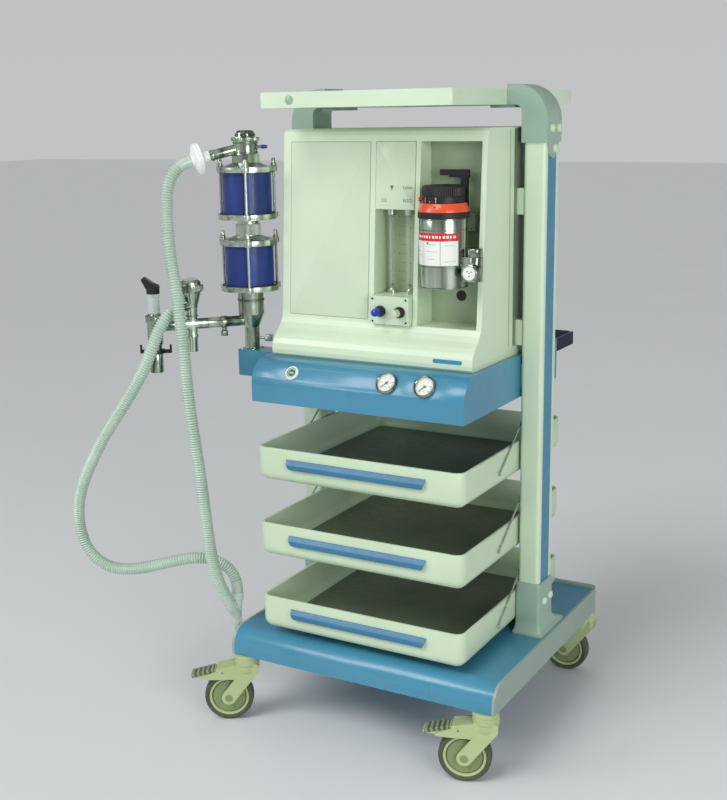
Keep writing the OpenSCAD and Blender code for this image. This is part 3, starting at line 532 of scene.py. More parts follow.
def screws(name, places, axis, radius, material, height=1.6):
    """Domed heads with a cross recess."""
    bm = bmesh.new()
    u, v = basis(axis)
    axis = Vector(axis).normalized()
    for place in places:
        add_turned(bm, place, axis, [(radius, -0.3), (radius, 0.3 * height),
                                     (0.8 * radius, 0.8 * height), (0.4 * radius, height),
                                     (0, height)], sides=20)
        for long, short in ((1.1 * radius, 0.28 * radius), (0.28 * radius, 1.1 * radius)):
            add_box(bm, place + axis * (height - 0.1) * MM, (long, short, 0.5), axes(u, v, axis))
    return finish_mesh(name, bm, material)


PRINT_LIFT = 0.15


def lettering(name, words, size, place, right, up, material, body="frame"):
    """Small printed words, centred on place."""
    data = bpy.data.curves.new(name, "FONT")
    data.body = words
    data.size = size * MM
    data.align_x = "CENTER"
    data.align_y = "CENTER"
    data.extrude = 0.05 * MM
    right, up = Vector(right).normalized(), Vector(up).normalized()
    out = right.cross(up).normalized()
    written = bpy.data.objects.new(name, data)
    bpy.context.scene.collection.objects.link(written)
    written.matrix_world = (Matrix.Translation(place + out * PRINT_LIFT * MM)
                            @ axes(right, up, out).to_4x4())
    bpy.context.view_layer.update()
    mesh = bpy.data.meshes.new_from_object(written)
    mesh.transform(written.matrix_world)
    bpy.data.objects.remove(written)
    piece = bpy.data.objects.new(name, mesh)
    mesh.materials.clear()
    mesh.materials.append(material)
    bpy.context.scene.collection.objects.link(piece)
    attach(piece, body)
    return piece


# ---------------------------------------------------------------- hoses

HOSE_D = 28.0
RIB_PITCH = 6.0
SUPPLY_ROUTE = [
    (-411.2, -137.4, 1289.7), (-424, -152, 1282), (-435, -166, 1267), (-442.5, -176, 1246),
    (-445.5, -183, 1218), (-443, -190, 1180), (-436, -198, 1138), (-426, -207, 1094),
    (-413, -215, 1048), (-400, -222, 998), (-391, -227, 942), (-385, -228, 880),
    (-382, -227, 815), (-379, -223, 745), (-375, -216, 670), (-372, -207, 590),
    (-372, -197, 512), (-374, -185, 440), (-376, -171, 380),
    (-374, -156, 330), (-369, -142, 294), (-363, -130, 266),
]
RETURN_ROUTE = [
    (-427.5, -183, 970), (-430, -193, 968), (-434, -209, 961), (-440, -226, 945),
    (-448, -240, 918), (-459, -249, 884), (-475, -254, 848), (-498, -257, 810),
    (-530, -259, 766), (-566, -260, 720), (-605, -261, 668), (-642, -261, 612),
    (-673, -260, 558), (-694, -257, 508), (-703, -253, 460), (-701, -248, 418),
    (-687, -243, 382), (-660, -237, 356), (-626, -229, 343), (-588, -218, 342),
    (-548, -205, 349), (-508, -189, 360), (-468, -168, 370), (-433, -147, 373),
    (-405, -128, 366), (-383, -113, 350), (-369, -104, 328), (-362, -101, 305),
    (-359.5, -103, 284),
]
WYE_MIDDLE = (-356.5, -115, 234)
WYE_END = (-355.5, -113, 186)


def smooth_line(route, steps):
    """The same smooth curve through the route's points as in part.scad."""
    points = [Vector(p) for p in route]
    line = []
    for i in range(len(points) - 1):
        p0, p1 = points[max(0, i - 1)], points[i]
        p2, p3 = points[i + 1], points[min(len(points) - 1, i + 2)]
        for k in range(steps):
            t = k / steps
            line.append(0.5 * (2 * p1 + (p2 - p0) * t + (2 * p0 - 5 * p1 + 4 * p2 - p3) * t ** 2
                               + (3 * p1 - p0 - 3 * p2 + p3) * t ** 3))
    line.append(points[-1])
    return line


def even_line(line, step):
    """Points at equal steps along a line, and the line's length."""
    gaps = [(b - a).length for a, b in zip(line, line[1:])]
    total = sum(gaps)
    count = max(2, round(total / step))
    wanted = [total * k / count for k in range(count + 1)]
    points, i, passed = [], 0, 0.0
    for distance in wanted:
        while i < len(gaps) - 1 and passed + gaps[i] < distance:
            passed += gaps[i]
            i += 1
        points.append(line[i].lerp(line[i + 1], min(1.0, (distance - passed) / gaps[i])))
    return points, total


def tube_mesh(name, points, radius_at, sides, material, body):
    """A tube along points in the row frame; radius_at(i) is in millimetres."""
    bm = bmesh.new()
    rings, side = [], None
    for i, point in enumerate(points):
        ahead = (points[min(i + 1, len(points) - 1)] - points[max(i - 1, 0)]).normalized()
        if side is None:
            side = basis(ahead)[0]
        side = (side - ahead * side.dot(ahead)).normalized()
        rings.append(round_ring(bm, point, side, ahead.cross(side), radius_at(i) * MM, sides))
    add_skin(bm, rings)
    return finish_mesh(name, bm, material, body)


def corrugated(name, route):
    """A hose whose wall swells and narrows once every rib, with plain cuffs at its ends."""
    per_rib = 6
    line, length = even_line(smooth_line(route, 8), RIB_PITCH / per_rib)
    path = [at(*p) for p in line]
    cuff = 5 * per_rib

    def radius_at(i):
        if i < cuff or i > len(path) - 1 - cuff:
            return HOSE_D / 2 - 0.6
        swell = 0.5 + 0.5 * math.cos(2 * math.pi * i / per_rib)
        return HOSE_D / 2 - 2.8 + 2.9 * swell ** 0.6

    hose = tube_mesh(name, path, radius_at, 28, hose_plastic, "absorber")
    return hose, path, length * MM


def joined_wye():
    """Two branches that meet and run on into the patient port."""
    middle, end = at(*WYE_MIDDLE), at(*WYE_END)
    bm = bmesh.new()
    for start in (at(*SUPPLY_ROUTE[-1]), at(*RETURN_ROUTE[-1])):
        taper_between(bm, start, middle, [(0, 15.2), (0.32, 15.2), (0.36, 13.2), (1.0, 12.2)])
    taper_between(bm, middle, end, [(-0.1, 12.6), (0.35, 12.6), (0.42, 11.2), (0.86, 11.2),
                                    (0.9, 12.2), (1.0, 12.2)])
    bmesh.ops.create_uvsphere(bm, u_segments=32, v_segments=16, radius=13 * MM,
                              matrix=Matrix.Translation(middle))
    return finish_mesh("wye_shell", bm, port_clear, "absorber")


def taper_between(bm, start, end, stops, sides=32):
    """Rings of a radius at each fraction of the way from start to end, closed at both ends."""
    axis = end - start
    u, v = basis(axis)
    add_skin(bm, [round_ring(bm, start + axis * share, u, v, radius * MM, sides)
                  for share, radius in stops])


wye = joined_wye()
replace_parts(wye, "wye_piece")
for hose_name, node, route in (("supply_corrugated", "supply_hose", SUPPLY_ROUTE),
                               ("return_corrugated", "return_hose", RETURN_ROUTE)):
    hose, path, length = corrugated(hose_name, route)
    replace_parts(hose, node)

# ---------------------------------------------------------------- castors

STEMS = {"front_left": (-305, -152, 30), "front_right": (305, -152, 18),
         "rear_left": (-305, 445, 0), "rear_right": (305, 445, 0)}
TRAIL, AXLE_Z = 43, 57.5
PIVOT_BACK, PIVOT_Z = 56, 121.3
CHEEK, ARM_THICK = 17, 5.8
ARM_OUTLINE = (arc(-TRAIL, AXLE_Z, 16.5, 142, 322, 14)
               + [(19, 110), (27, 119), (28, 124), (28, 138), (24, 142), (-24, 142), (-24, 112),
                  (-26, 106)])
HOUSING = [(-20, 139), (-30, 138), (-70, 131), (-70, 124), (-103, 111), (-106, 107),
           (-103, 105), (-80, 103.5), (-20, 103.5)]
PEDAL = [(-48.5, 116), (-48.5, 126), (-72, 126), (-73, 128), (-130, 114), (-132.5, 111.5),
         (-130.5, 109), (-122, 107), (-90, 105), (-60, 116)]


class Castor:
    """The directions of one castor: ahead of its stem, across its wheel, and points between."""

    def __init__(self, corner):
        x, y, turn = STEMS[corner]
        self.foot = at(x, y, 0)
        self.ahead, self.across = spoke(math.radians(turn))
        self.axes = axes(self.ahead, self.across, UP)

    def point(self, along, across, z):
        return self.foot + (self.ahead * along + self.across * across + UP * z) * MM


def make_fork(corner, castor, pedal):
    """Swivel head, two slanting arms, and on the front castors the housing of the pedal."""
    body = "fork_" + corner
    bm = bmesh.new()
    add_turned(bm, castor.foot, UP, [(6, 162), (6, 191.5)], sides=24)
    add_turned(bm, castor.foot, UP, [(10, 120), (23, 120), (25, 121), (26, 123.5), (26, 136.5),
                                     (27.6, 138.2), (28.5, 139.4), (28.5, 151.4), (27.3, 152.2),
                                     (27.3, 153.2), (28.5, 154), (28.5, 159.6), (27.2, 161.4),
                                     (8, 161.6)], sides=56)
    for side in (-CHEEK, CHEEK + ARM_THICK):
        add_plate(bm, ARM_OUTLINE, castor.point(0, side, 0), castor.ahead, UP, ARM_THICK)
    if pedal:
        for side in (-CHEEK - 0.3, CHEEK + 5):
            add_plate(bm, HOUSING, castor.point(0, side, 0), castor.ahead, UP, 4.7)
        add_plate(bm, [(-69, 127), (-20, 135.5), (-20, 138), (-69, 130)],
                  castor.point(0, CHEEK + 1, 0), castor.ahead, UP, 2 * CHEEK + 2)
    add_box(bm, castor.point(-1.5, 0, 137.6), (42, 2 * CHEEK + 1.4, 7), castor.axes)
    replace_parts(finish_mesh("castor_fork_" + corner, bm, castor_cream, body, 1.4, 3), body)
    caps = bmesh.new()
    for way in (-1, 1):
        outward = castor.across * way
        add_turned(caps, castor.point(-TRAIL, way * (CHEEK + ARM_THICK), AXLE_Z), outward,
                   [(9, -0.5), (9, 0.4), (7.6, 1.2), (5.4, 1.2), (5.0, 0.8), (0, 0.7)], sides=28)
        if pedal:
            add_turned(caps, castor.point(-PIVOT_BACK, way * (CHEEK + 5), PIVOT_Z), outward,
                       [(2.6, -0.5), (2.6, 0.5), (1.6, 1.0), (0, 1.1)], sides=20)
    add_turned(caps, castor.point(-TRAIL, -CHEEK - 5, AXLE_Z), castor.across, [(5, 0), (5, 44)],
               sides=20)
    finish_mesh("castor_caps_" + corner, caps, castor_hub, body)


def make_wheel(corner, castor):
    """Tyre, rim and hub as rings about the axle, with five ribs on the hub."""
    body = "wheel_" + corner
    hub_at = castor.point(-TRAIL, 0, AXLE_Z)
    tread = [(45.9, -12.2), (48, -14.2), (52, -15), (55.4, -13.6), (57.0, -10), (57.5, -3)]
    rim = [(40, -10), (40.2, -10), (41.2, -12.6), (45.0, -13.4), (46.4, -12.2)]
    hub = [(5.2, -15), (13, -15), (13.4, -12.6), (15, -11), (34, -9.6), (38.2, -9.8)]

    def wheel_ring(name, half, material, sides=64):
        return lathe(f"{name}_{corner}", hub_at, castor.across,
                     half + [(r, -h) for r, h in reversed(half)], material, body, sides=sides,
                     ring=True)

    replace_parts(wheel_ring("tyre", tread, tyre_rubber, 72), body)
    wheel_ring("rim", rim, castor_cream)
    wheel_ring("hub", hub, castor_hub)
    spokes = bmesh.new()
    for k in range(5):
        turn = castor.axes @ Matrix.Rotation(-2 * math.pi * k / 5, 3, "Y")
        add_box(spokes, hub_at + turn @ X * 25 * MM, (17, 22, 2.4), turn)
    finish_mesh("hub_ribs_" + corner, spokes, castor_hub, body, 0.5)
    lathe("hub_shadow_" + corner, hub_at, castor.across,
          [(38, -9), (40.4, -9), (40.4, 9), (38, 9)], black_rubber, body, sides=48, ring=True)


def make_brake(side, castor):
    """A pedal whose end carries five ribs that wrap over its edge."""
    body = "brake_" + side
    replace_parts(plate("brake_pedal_" + side, PEDAL, castor.point(0, 16.5, 0), castor.ahead, UP,
                      33, castor_cream, body, 1.4, 3), body)
    middle, height, slope = -101, 117.6, 14 / 57
    lean = castor.axes @ Matrix.Rotation(-math.atan(slope), 3, "Y")
    pad, bars = bmesh.new(), bmesh.new()
    add_box(pad, castor.point(middle, 0, height), (56, 33.6, 7.6), lean)
    finish_mesh("brake_tread_" + side, pad, dark_tread, body, 0.8)
    for k in range(5):
        along = -79.5 - 11.1 * k
        add_box(bars, castor.point(along, 0, height + (along - middle) * slope + 0.7),
                (6.2, 34.4, 8.6), lean)
    finish_mesh("brake_ribs_" + side, bars, tread_grey, body, 1.6, 3)


for corner in STEMS:
    castor = Castor(corner)
    make_fork(corner, castor, corner.startswith("front"))
    make_wheel(corner, castor)
for side in ("left", "right"):
    make_brake(side, Castor("front_" + side))

# ---------------------------------------------------------------- columns

COL_IN, COL_OUT, COL_FRONT, COL_BACK = 259, 309, 124, 198


def make_feet():
    """Cast sockets that flare out into a flange on the base."""
    bm = bmesh.new()
    inner = (COL_IN - 4.5, COL_OUT + 4.5, COL_FRONT - 4.5, COL_BACK + 4.5)
    outer = (COL_IN - 7, COL_OUT + 14, COL_FRONT - 13, COL_BACK + 44)
    for side in (-1, 1):
        levels = [((251, 325, 109, 248), 223.2, 5), ((251, 325, 109, 248), 227.6, 5),
                  ((252, 324, 110, 247), 229, 5)]
        for k in range(9):
            spread = (1 - k / 8) ** 2.6
            limits = [i + (o - i) * spread for i, o in zip(inner, outer)]
            levels.append((limits, 229.4 + 4.0 * k, 7))
        levels += [(inner, 342.6, 8), ([i + s for i, s in zip(inner, (1.6, -1.6, 1.6, -1.6))],
                                       345, 7)]
        add_loft(bm, [([(side * x, y) for x, y in rounded(*limits, r)], z)
                      for limits, z, r in levels])
    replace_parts(finish_mesh("socket_feet", bm, cast_grey), "column_feet")


def make_column_details():
    caps = bmesh.new()
    for side in (-1, 1):
        for y, z in ((144, 1349), (182, 1349), (162, 1308), (148, 299), (184, 302)):
            place = at(side * (COL_OUT + 4), y, z)
            add_turned(caps, place, X * side, [(9.2, 0), (9.2, 2.4), (8.3, 4.8), (5.8, 6.6),
                                               (2.6, 7.2), (0, 7.4)], sides=36)
    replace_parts(finish_mesh("screw_caps", caps, cream_cap), "dome_screws")
    screws("foot_bolts", [at(side * x, y, 229) for side in (-1, 1)
                          for x, y in ((262, 233), (312, 233))], UP, 4.2, satin_steel, 2.4)


make_feet()
make_column_details()

# ---------------------------------------------------------------- cabinet


CABINET_SIDE = 243
LEAN = 0.0665


def front_y(z):
    """y of the cabinet's leaning front at height z."""
    return -22 - (1340 - z) * LEAN


LEAN_UP = Vector((0, LEAN, 1)).normalized()
LEAN_OUT = X.cross(LEAN_UP)


def on_front(x, z, lift=0.0):
    return at(x, front_y(z), z) + LEAN_OUT * lift * MM


def make_recess_liners():
    """The darker sheets at the back of the two recesses: partly a darker grey-green paint, partly
    painted shade of the recesses.
    """
    boxes("vaporizer_recess_shade_liner", [((94.3, 23.2, 947.4), (230.7, 24.2, 1326.6))],
          recess_paint, bevel=0.3)
    boxes("flow_recess_shade_liner", [((-10.7, 13.2, 1008.2), (82.7, 14.2, 1186.6))],
          recess_paint, bevel=0.3)


FLOW_TUBES, FLOW_SCALES = (15, 57), (36, 78)
SCALE_FOOT, SCALE_STEP = 1032, 19.5


def make_flow_section():
    """Printed marks, the tubes' scales, fittings and floats, and the block's screws."""
    for name, words, size, x, z in (("unit_mark", "L/min", 9.5, 66, 1233),
                                    ("oxygen_mark", "O2", 10, 10.4, 1206),
                                    ("nitrous_mark", "N2O", 10, 66, 1206)):
        lettering(name, words, size, on_front(x, z, 1.7), X, LEAN_UP, soft_ink)
    plate("flow_arrow", [(-4.6, 5), (4.6, 5), (0, -4), (0, -5.6)], on_front(28.9, 1232, 1.5),
          X, LEAN_UP, 0.3, soft_ink)
    marks, fittings, floats = bmesh.new(), bmesh.new(), bmesh.new()
    for x in FLOW_TUBES:
        for k in range(31):
            wide = 22 if k % 5 == 0 else 12
            add_wrap(marks, at(x, -8, 0), 7.02, -62, -62 + wide * 2.4, 1024 + 4.9 * k,
                     1024.9 + 4.9 * k, 0.14)
        for bm, z, profile, sides in (
                (fittings, 1174, [(8.2, 0), (9.4, 1.2), (9.4, 11.6), (7.5, 12.8)], 48),
                (fittings, 1008.2, [(9.4, 0), (9.4, 7), (8.2, 8.4), (7.2, 10)], 48),
                (floats, 1021, [(1.6, 0), (2.2, 3), (4.0, 6), (4.0, 7.5), (3.0, 8.2),
                                (0, 8.4)], 24)):
            add_turned(bm, at(x, -8, z), UP, profile, sides=sides)
    finish_mesh("flow_scale_marks", marks, ink)
    finish_mesh("flow_tube_fittings", fittings, satin_steel)
    finish_mesh("flow_floats", floats, dark_steel)
    scale = bmesh.new()
    for x in FLOW_SCALES:
        for k in range(8):
            add_box(scale, at(x - 4.5, 12.9, SCALE_FOOT + SCALE_STEP * k),
                    (5 if k % 2 else 8, 0.3, 0.9))
    finish_mesh("flow_back_scale", scale, soft_ink)
    for x in FLOW_SCALES:
        for k in range(1, 8, 2):
            lettering(f"flow_number_{x}_{k}", str(k // 2 + 1), 8,
                      at(x - 14, 13.1, SCALE_FOOT + SCALE_STEP * k), X, UP, soft_ink)
    screws("block_screws", [at(x, -63.5, z) for x in (-4, 76) for z in (954, 1002)], -Y, 2.4,
           ink, 0.8)


def make_flow_knob(name, x, cap):
    """A black ribbed skirt with a coloured cap, on one spindle."""
    face = at(x, -62.3, 976)
    skirt = lathe(name + "_skirt", face, -Y,
                  [(3, -15), (3, 0), (11.4, 0), (12, 0.7), (12, 7.4), (11, 9), (9.6, 10.5),
                   (9.2, 15)], black_plastic, name, sides=96, wave=ribs(24, 0.7, 0.5, 8))
    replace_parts(skirt, name)
    lathe(name + "_cap", face, -Y,
          [(8.2, 10), (8.5, 11), (8.5, 27.4), (7.7, 29.4), (6.2, 30), (0, 29.7)],
          cap, name, sides=108, wave=ribs(27, 0.5, 10.9, 27.5))
    bm = bmesh.new()
    add_box(bm, face - Y * 29.9 * MM + UP * 4.2 * MM, (0.8, 0.3, 5.2))
    finish_mesh(name + "_line", bm, white_ink, name)


def make_cabinet_details():
    """Seams, painted shade on the rear part of the sides, louvred rear panel with painted shade in
    its slots, and a plain badge.
    """
    # the dark strip on the rear part of each side is painted shade of the gap beside the columns
    for name, material, thick, strips, low, high in (
            ("cabinet_seams", seam_green, 0.2, ((90, 91.2), (93.5, 94.7)), 890, 1349),
            ("cabinet_rear_side_shade", shadow_paint, 0.3, ((114, 211),), 888, 1350)):
        middle = CABINET_SIDE + thick
        boxes(name, [((side * middle - thick, front, low), (side * middle + thick, back, high))
                     for side in (-1, 1) for front, back in strips], material)
    plate("rear_panel", rounded(-226, 226, 890, 1336, 6), at(0, 214, 0), X, Z, 2.2,
          panel_paint, bevel=0.6)
    screws("rear_screws", [at(x, 214, z) for x in (-218, 0, 218) for z in (898, 1113, 1328)],
           Y, 3.6, satin_steel)
    # the dark strips under the hoods are painted shade in the louvre openings
    slots, hoods = bmesh.new(), bmesh.new()
    for column in (-130, 130):
        for k in range(9):
            z = 1180 + 13 * k
            add_box(slots, at(column, 214.1, z - 2.6), (96, 0.4, 3.4))
            add_plate(hoods, [(214, z), (217.2, z - 3.4), (217.2, z - 4.2), (214, z + 4)],
                      at(column + 48, 0, 0), Y, Z, -96)
    finish_mesh("louvre_slot_shade", slots, ink)
    finish_mesh("louvre_hoods", hoods, panel_paint, bevel=0.3)
    slope = Vector((0, 2, 13)).normalized()
    plate("plain_badge", rounded(-33, 33, -4.2, 4.2, 3), at(187, -93.4, 886), X, slope, 0.5,
          stripe_blue, bevel=0.15)


def make_shelf_details():
    lathe("shelf_cap", at(-147, -144.8, 1414), -Y,
          [(9.5, 0), (9.5, 0.7), (8.6, 1.3), (0, 1.4)], cast_grey, sides=32)
    loft("shelf_mat", [(rounded(-212, 212, -135, 495, 10), z) for z in (1418.1, 1419.0)],
         mat_grey)


# ---------------------------------------------------------------- vaporizer

VAP = (163, -60)
DIAL_RADIUS, DIAL_FRONT = 44, -85
BODY_RADIUS = 50
LABEL = (-161.1, -27.6)
LABEL_LOW, LABEL_HIGH = 1083, 1134


def make_vaporizer():
    """Cone, collar, ribbed dial with its scale, label, sight glass and filler cap."""
    axis = at(*VAP, 0)
    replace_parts(lathe("orange_cone", axis, UP,
                      [(40, 1189.2), (52, 1189.2), (53, 1190), (53, 1191.4), (46.6, 1205.8),
                       (45.6, 1207), (30, 1207)], orange_paint, sides=72), "vaporizer_ring")
    lathe("black_collar", axis, UP, [(49, 1177), (51.9, 1177), (52.7, 1177.8), (52.9, 1188.4),
                                     (52.2, 1189.3), (49, 1189.3)], black_plastic, sides=72)
    dial = lathe("dial_shell", axis, UP,
                 [(10, 1183), (10, 1207.4), (43.4, 1207.4), (44, 1208.2), (44, 1219.4),
                  (43.2, 1220.2), (43.2, 1221), (44, 1221.8), (44, 1236.6), (43.2, 1238.8),
                  (41.6, 1240.6), (40, 1241.4), (38.5, 1240.4), (14, 1240), (13, 1241.2),
                  (11, 1242), (0, 1242)],
                 black_plastic, "vaporizer_dial", sides=240, wave=ribs(60, 1.3, 1221.6, 1239))
    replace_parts(dial, "vaporizer_dial")
    marks = bmesh.new()
    for k in range(11):
        a = DIAL_FRONT - 18 * k
        tall = 5.2 if k % 2 == 0 else 3.2
        add_wrap(marks, axis, DIAL_RADIUS - 0.05, a - 0.6, a + 0.6, 1208.6, 1208.6 + tall, 0.2)
    finish_mesh("dial_marks", marks, white_ink, "vaporizer_dial")
    for k in range(6):
        away, across = spoke(math.radians(DIAL_FRONT - 36 * k))
        lettering(f"dial_number_{k}", str(k), 6.4,
                  axis + (away * (DIAL_RADIUS - 0.05) + UP * 1216.6) * MM, across, UP, white_ink,
                  "vaporizer_dial")
    away, across = spoke(math.radians(DIAL_FRONT))
    slope = (UP * 14.4 - away * 6.4).normalized()
    plate("dial_pointer", [(-2.2, -2.6), (2.2, -2.6), (0, 2.6)],
          axis + away * 48.9 * MM + UP * 1201.5 * MM, across, slope, 0.35, ink)
    make_label(axis)
    body_rings = bmesh.new()
    for z, r in ((1038, 50.5), (1081, 50.35), (1154, 50.4), (1175, 50.4)):
        add_turned(body_rings, axis, UP, [(49, z - 1.2), (r, z - 1.0), (r + 0.2, z),
                                          (r, z + 1.0), (49, z + 1.2)], sides=72)
    finish_mesh("body_rings", body_rings, dark_steel)
    make_sight_glass()
    cap = lathe("filler_knob", at(235, -63, 0), UP,
                [(8, 1088), (8, 1100.4), (15, 1100.4), (15.5, 1101.2), (15.5, 1115),
                 (14.9, 1116.8), (13.2, 1118.2), (11, 1118.6), (0, 1119)], chrome, "filler_cap",
                sides=144, wave=ribs(36, 0.35, 1103, 1113))
    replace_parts(cap, "filler_cap")
    screws("mount_screws", [at(x, -9.2, z) for x in (127, 203) for z in (1151, 1170)], -Y, 2.6,
           satin_steel, 1.2)
    grommet = bmesh.new()
    add_turned(grommet, at(164, 24, 1006), -Y, [(6, -6), (8.9, -6), (9, 0), (11.2, 0.4),
                                                (11.6, 1.2), (10.6, 2.2), (7.2, 2.3), (6, 1)],
               ring=True)
    add_turned(grommet, at(164, 24, 1006), -Y, [(7.4, -2), (7.4, 1.6)])
    finish_mesh("cable_grommet", grommet, black_rubber)


def make_label(axis):
    """A generic strip: a red band over three white cells with thin line drawings."""
    paper, print_on = BODY_RADIUS + 0.15, BODY_RADIUS + 0.3
    wrap("label_band", axis, paper, *LABEL, LABEL_HIGH, LABEL_HIGH + 15, red_ink)
    wrap("label_cells", axis, paper, *LABEL, LABEL_LOW, LABEL_HIGH - 0.2, white_ink, 0.2)
    lines = bmesh.new()
    for a in (-160.8, -116.6, -72.1, -28.0):
        add_wrap(lines, axis, print_on, a - 0.5, a + 0.5, LABEL_LOW, LABEL_HIGH, 0.15)
    for z in (LABEL_LOW, LABEL_HIGH - 1):
        add_wrap(lines, axis, print_on, *LABEL, z, z + 0.9, 0.15)
    for a, z, wide in ((-138, 1120, 20), (-138, 1104, 26), (-94, 1126, 24), (-94, 1112, 30),
                       (-94, 1097, 18), (-50, 1124, 22), (-50, 1092, 26)):
        add_wrap(lines, axis, print_on, a - wide / 2, a + wide / 2, z, z + 0.6, 0.12)
    finish_mesh("label_lines", lines, soft_ink)
    dashes = bmesh.new()
    for k in range(14):
        a = -150 + k * 8.4
        add_wrap(dashes, axis, 50.32, a, a + (5.4 if k % 3 else 3.6), 1139, 1144, 0.16)
    finish_mesh("label_dashes", dashes, white_ink)
    drops = bmesh.new()
    for a, z in ((-142, 1112), (-104, 1129)):
        add_wrap(drops, axis, 50.34, a - 2.4, a + 2.4, z - 1.6, z + 2.4, 0.16)
    finish_mesh("label_drops", drops, red_ink)


def make_sight_glass():
    face = at(235, -92, 1070)
    lathe("sight_rim", face, -Y, [(14.2, -1), (17.6, -0.4), (18, 0.3), (17.6, 1.6), (16, 2.6),
                                  (14.6, 2.4), (14, 1.2), (14, -0.8)], chrome, sides=56,
          ring=True)
    lathe("sight_back", face, -Y, [(14.2, 0), (14.2, 0.5), (0, 0.5)], dial_white)
    dots = bmesh.new()
    for x, z in ((-4.5, 3.5), (4.6, 3.2), (0, -5.5), (0, 0.4)):
        add_turned(dots, face + X * x * MM + UP * z * MM, -Y, [(1.5, 0.4), (1.5, 0.8), (0, 0.9)],
                   sides=16)
    finish_mesh("sight_dots", dots, ink)
    lathe("sight_lens", face, -Y, [(14, 1.2), (14, 1.9), (8, 2.6), (0, 2.9)], gauge_glass)


# ---------------------------------------------------------------- table

FACE_LEAN = math.radians(55)
FACE_UP = Vector((0, math.cos(FACE_LEAN), math.sin(FACE_LEAN)))
FACE_OUT = X.cross(FACE_UP)
ROUND = 55


def on_round(x, u, v, out):
    """A point of the rounded table front: u to the right, v up the face, out from its middle."""
    return at(x, -105, 811) + (X * u + FACE_UP * v + FACE_OUT * out) * MM


def make_gauge(name, x):
    """Scale, red arc, numbers, lens and rim of one pressure gauge."""
    ticks, red = bmesh.new(), bmesh.new()
    for k in range(21):
        a = math.radians(225 - 13.5 * k)
        away = X * math.cos(a) + FACE_UP * math.sin(a)
        turn = axes(away, FACE_OUT.cross(away), FACE_OUT)
        long = 3.0 if k % 4 == 0 else 1.7
        mid = on_round(x, 0, 0, ROUND + 0.15) + away * (18.4 - long / 2) * MM
        add_box(ticks, mid, (long, 0.55, 0.25), turn)
        if k > 15:
            add_box(red, on_round(x, 0, 0, ROUND + 0.12) + away * 14.6 * MM, (0.9, 3.4, 0.2),
                    turn)
    finish_mesh(name + "_ticks", ticks, ink)
    finish_mesh(name + "_red_arc", red, red_ink)
    for k, number in enumerate((0, 4, 8, 12, 16, 20)):
        a = math.radians(225 - 54 * k)
        lettering(f"{name}_number_{k}", str(number), 4.2,
                  on_round(x, 11.6 * math.cos(a), 11.6 * math.sin(a), ROUND), X, FACE_UP, ink)
    lettering(name + "_unit", "bar", 3.6, on_round(x, 0, -8.5, ROUND), X, FACE_UP, ink)
    lathe(name + "_lens", on_round(x, 0, 0, 0), FACE_OUT,
          [(20.2, 57.4), (20.2, 58.0), (12, 58.9), (0, 59.3)], gauge_glass)
    lathe(name + "_rim", on_round(x, 0, 0, 0), FACE_OUT,
          [(19.8, 57.2), (22.6, 56.4), (24, 55.2), (24, 57.4), (23.2, 59.4), (21.4, 60.2),
           (20.0, 59.2)], chrome, sides=64, ring=True)


def make_flush_mark():
    x = -156
    bm = bmesh.new()
    add_turned(bm, on_round(x, 0, 0, 0), FACE_OUT, [(8.8, 56.3), (10.1, 56.3), (10.1, 56.75),
                                                    (8.8, 56.75)], ring=True)
    add_box(bm, on_round(x, 0, 0, 56.65), (9.5, 1.9, 0.4), axes(X, FACE_UP, FACE_OUT))
    finish_mesh("flush_mark", bm, white_ink, "flush_button")
    lathe("flush_rim", on_round(x, 0, 0, 0), FACE_OUT,
          [(11.2, 55.5), (11.2, 57.6), (12.2, 58.4), (14.4, 58.2), (15.6, 56.6), (15.8, 54.6)],
          white_ink, sides=56, ring=True)


def make_table_details():
    # the dark navy mat and lip edges are partly a navy part and partly painted shade of the rear
    # lip
    mat = rounded(-250, 250, 353, 456, 8)
    loft("rear_mat_and_shade", [(mat, 866.1), (mat, 867.4), (rounded(-249, 249, 354, 455, 8), 868)],
         navy_mat)
    half, edge, front, back, low, high = 254, 256.4, 350, 458.6, 836, 866.2
    boxes("rear_lip_shaded_edge", [((-edge, front, low), (-half, back, high)),
                            ((half, front, low), (edge, back, high)),
                            ((-edge, back - 2.6, low), (edge, back, high))], navy_mat, bevel=0.8)
    screws("post_bolts", [at(-330 + dx, -45 + dy, 866) for dx in (-15, 15) for dy in (-19, 19)],
           UP, 3.2, satin_steel, 2)


RIMS = {"upper": 671, "middle": 495, "lower": 320}
TRAY_HALF, TRAY_FRONT, TRAY_BACK, TRAY_DEPTH = 254, -159, 395, 78
TRAY_FLOOR, TRAY_WALL, TRAY_CORNER = 4, 7, 24
LOWER_EDGE = 22


def tray_level(inset, z):
    """An outline of the tray at height z, drawn in by inset."""
    return rounded(-TRAY_HALF + inset, TRAY_HALF - inset, TRAY_FRONT + inset, TRAY_BACK - inset,
                   max(5, TRAY_CORNER - inset)), z


def make_tray_shells():
    """Moulded trays with a rounded lip and large round lower edges and corners."""
    for name, rim in RIMS.items():
        low = rim - TRAY_DEPTH
        turns = [math.radians(a) for a in range(0, 91, 15)]
        levels = [tray_level(LOWER_EDGE * (1 - math.sin(a)), low + LOWER_EDGE * (1 - math.cos(a)))
                  for a in turns]
        levels += [tray_level(0, rim - 2.2), tray_level(0.7, rim - 0.7), tray_level(2.2, rim),
                   tray_level(4.8, rim), tray_level(6.3, rim - 0.7),
                   tray_level(TRAY_WALL, rim - 2.2)]
        inner = 17
        levels += [tray_level(TRAY_WALL + inner * (1 - math.sin(a)),
                              low + TRAY_FLOOR + inner * (1 - math.cos(a)))
                   for a in reversed(turns)]
        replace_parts(loft(name + "_tray_shell", levels, tray_plastic), name + "_tray")


GRIP_HALF = 170


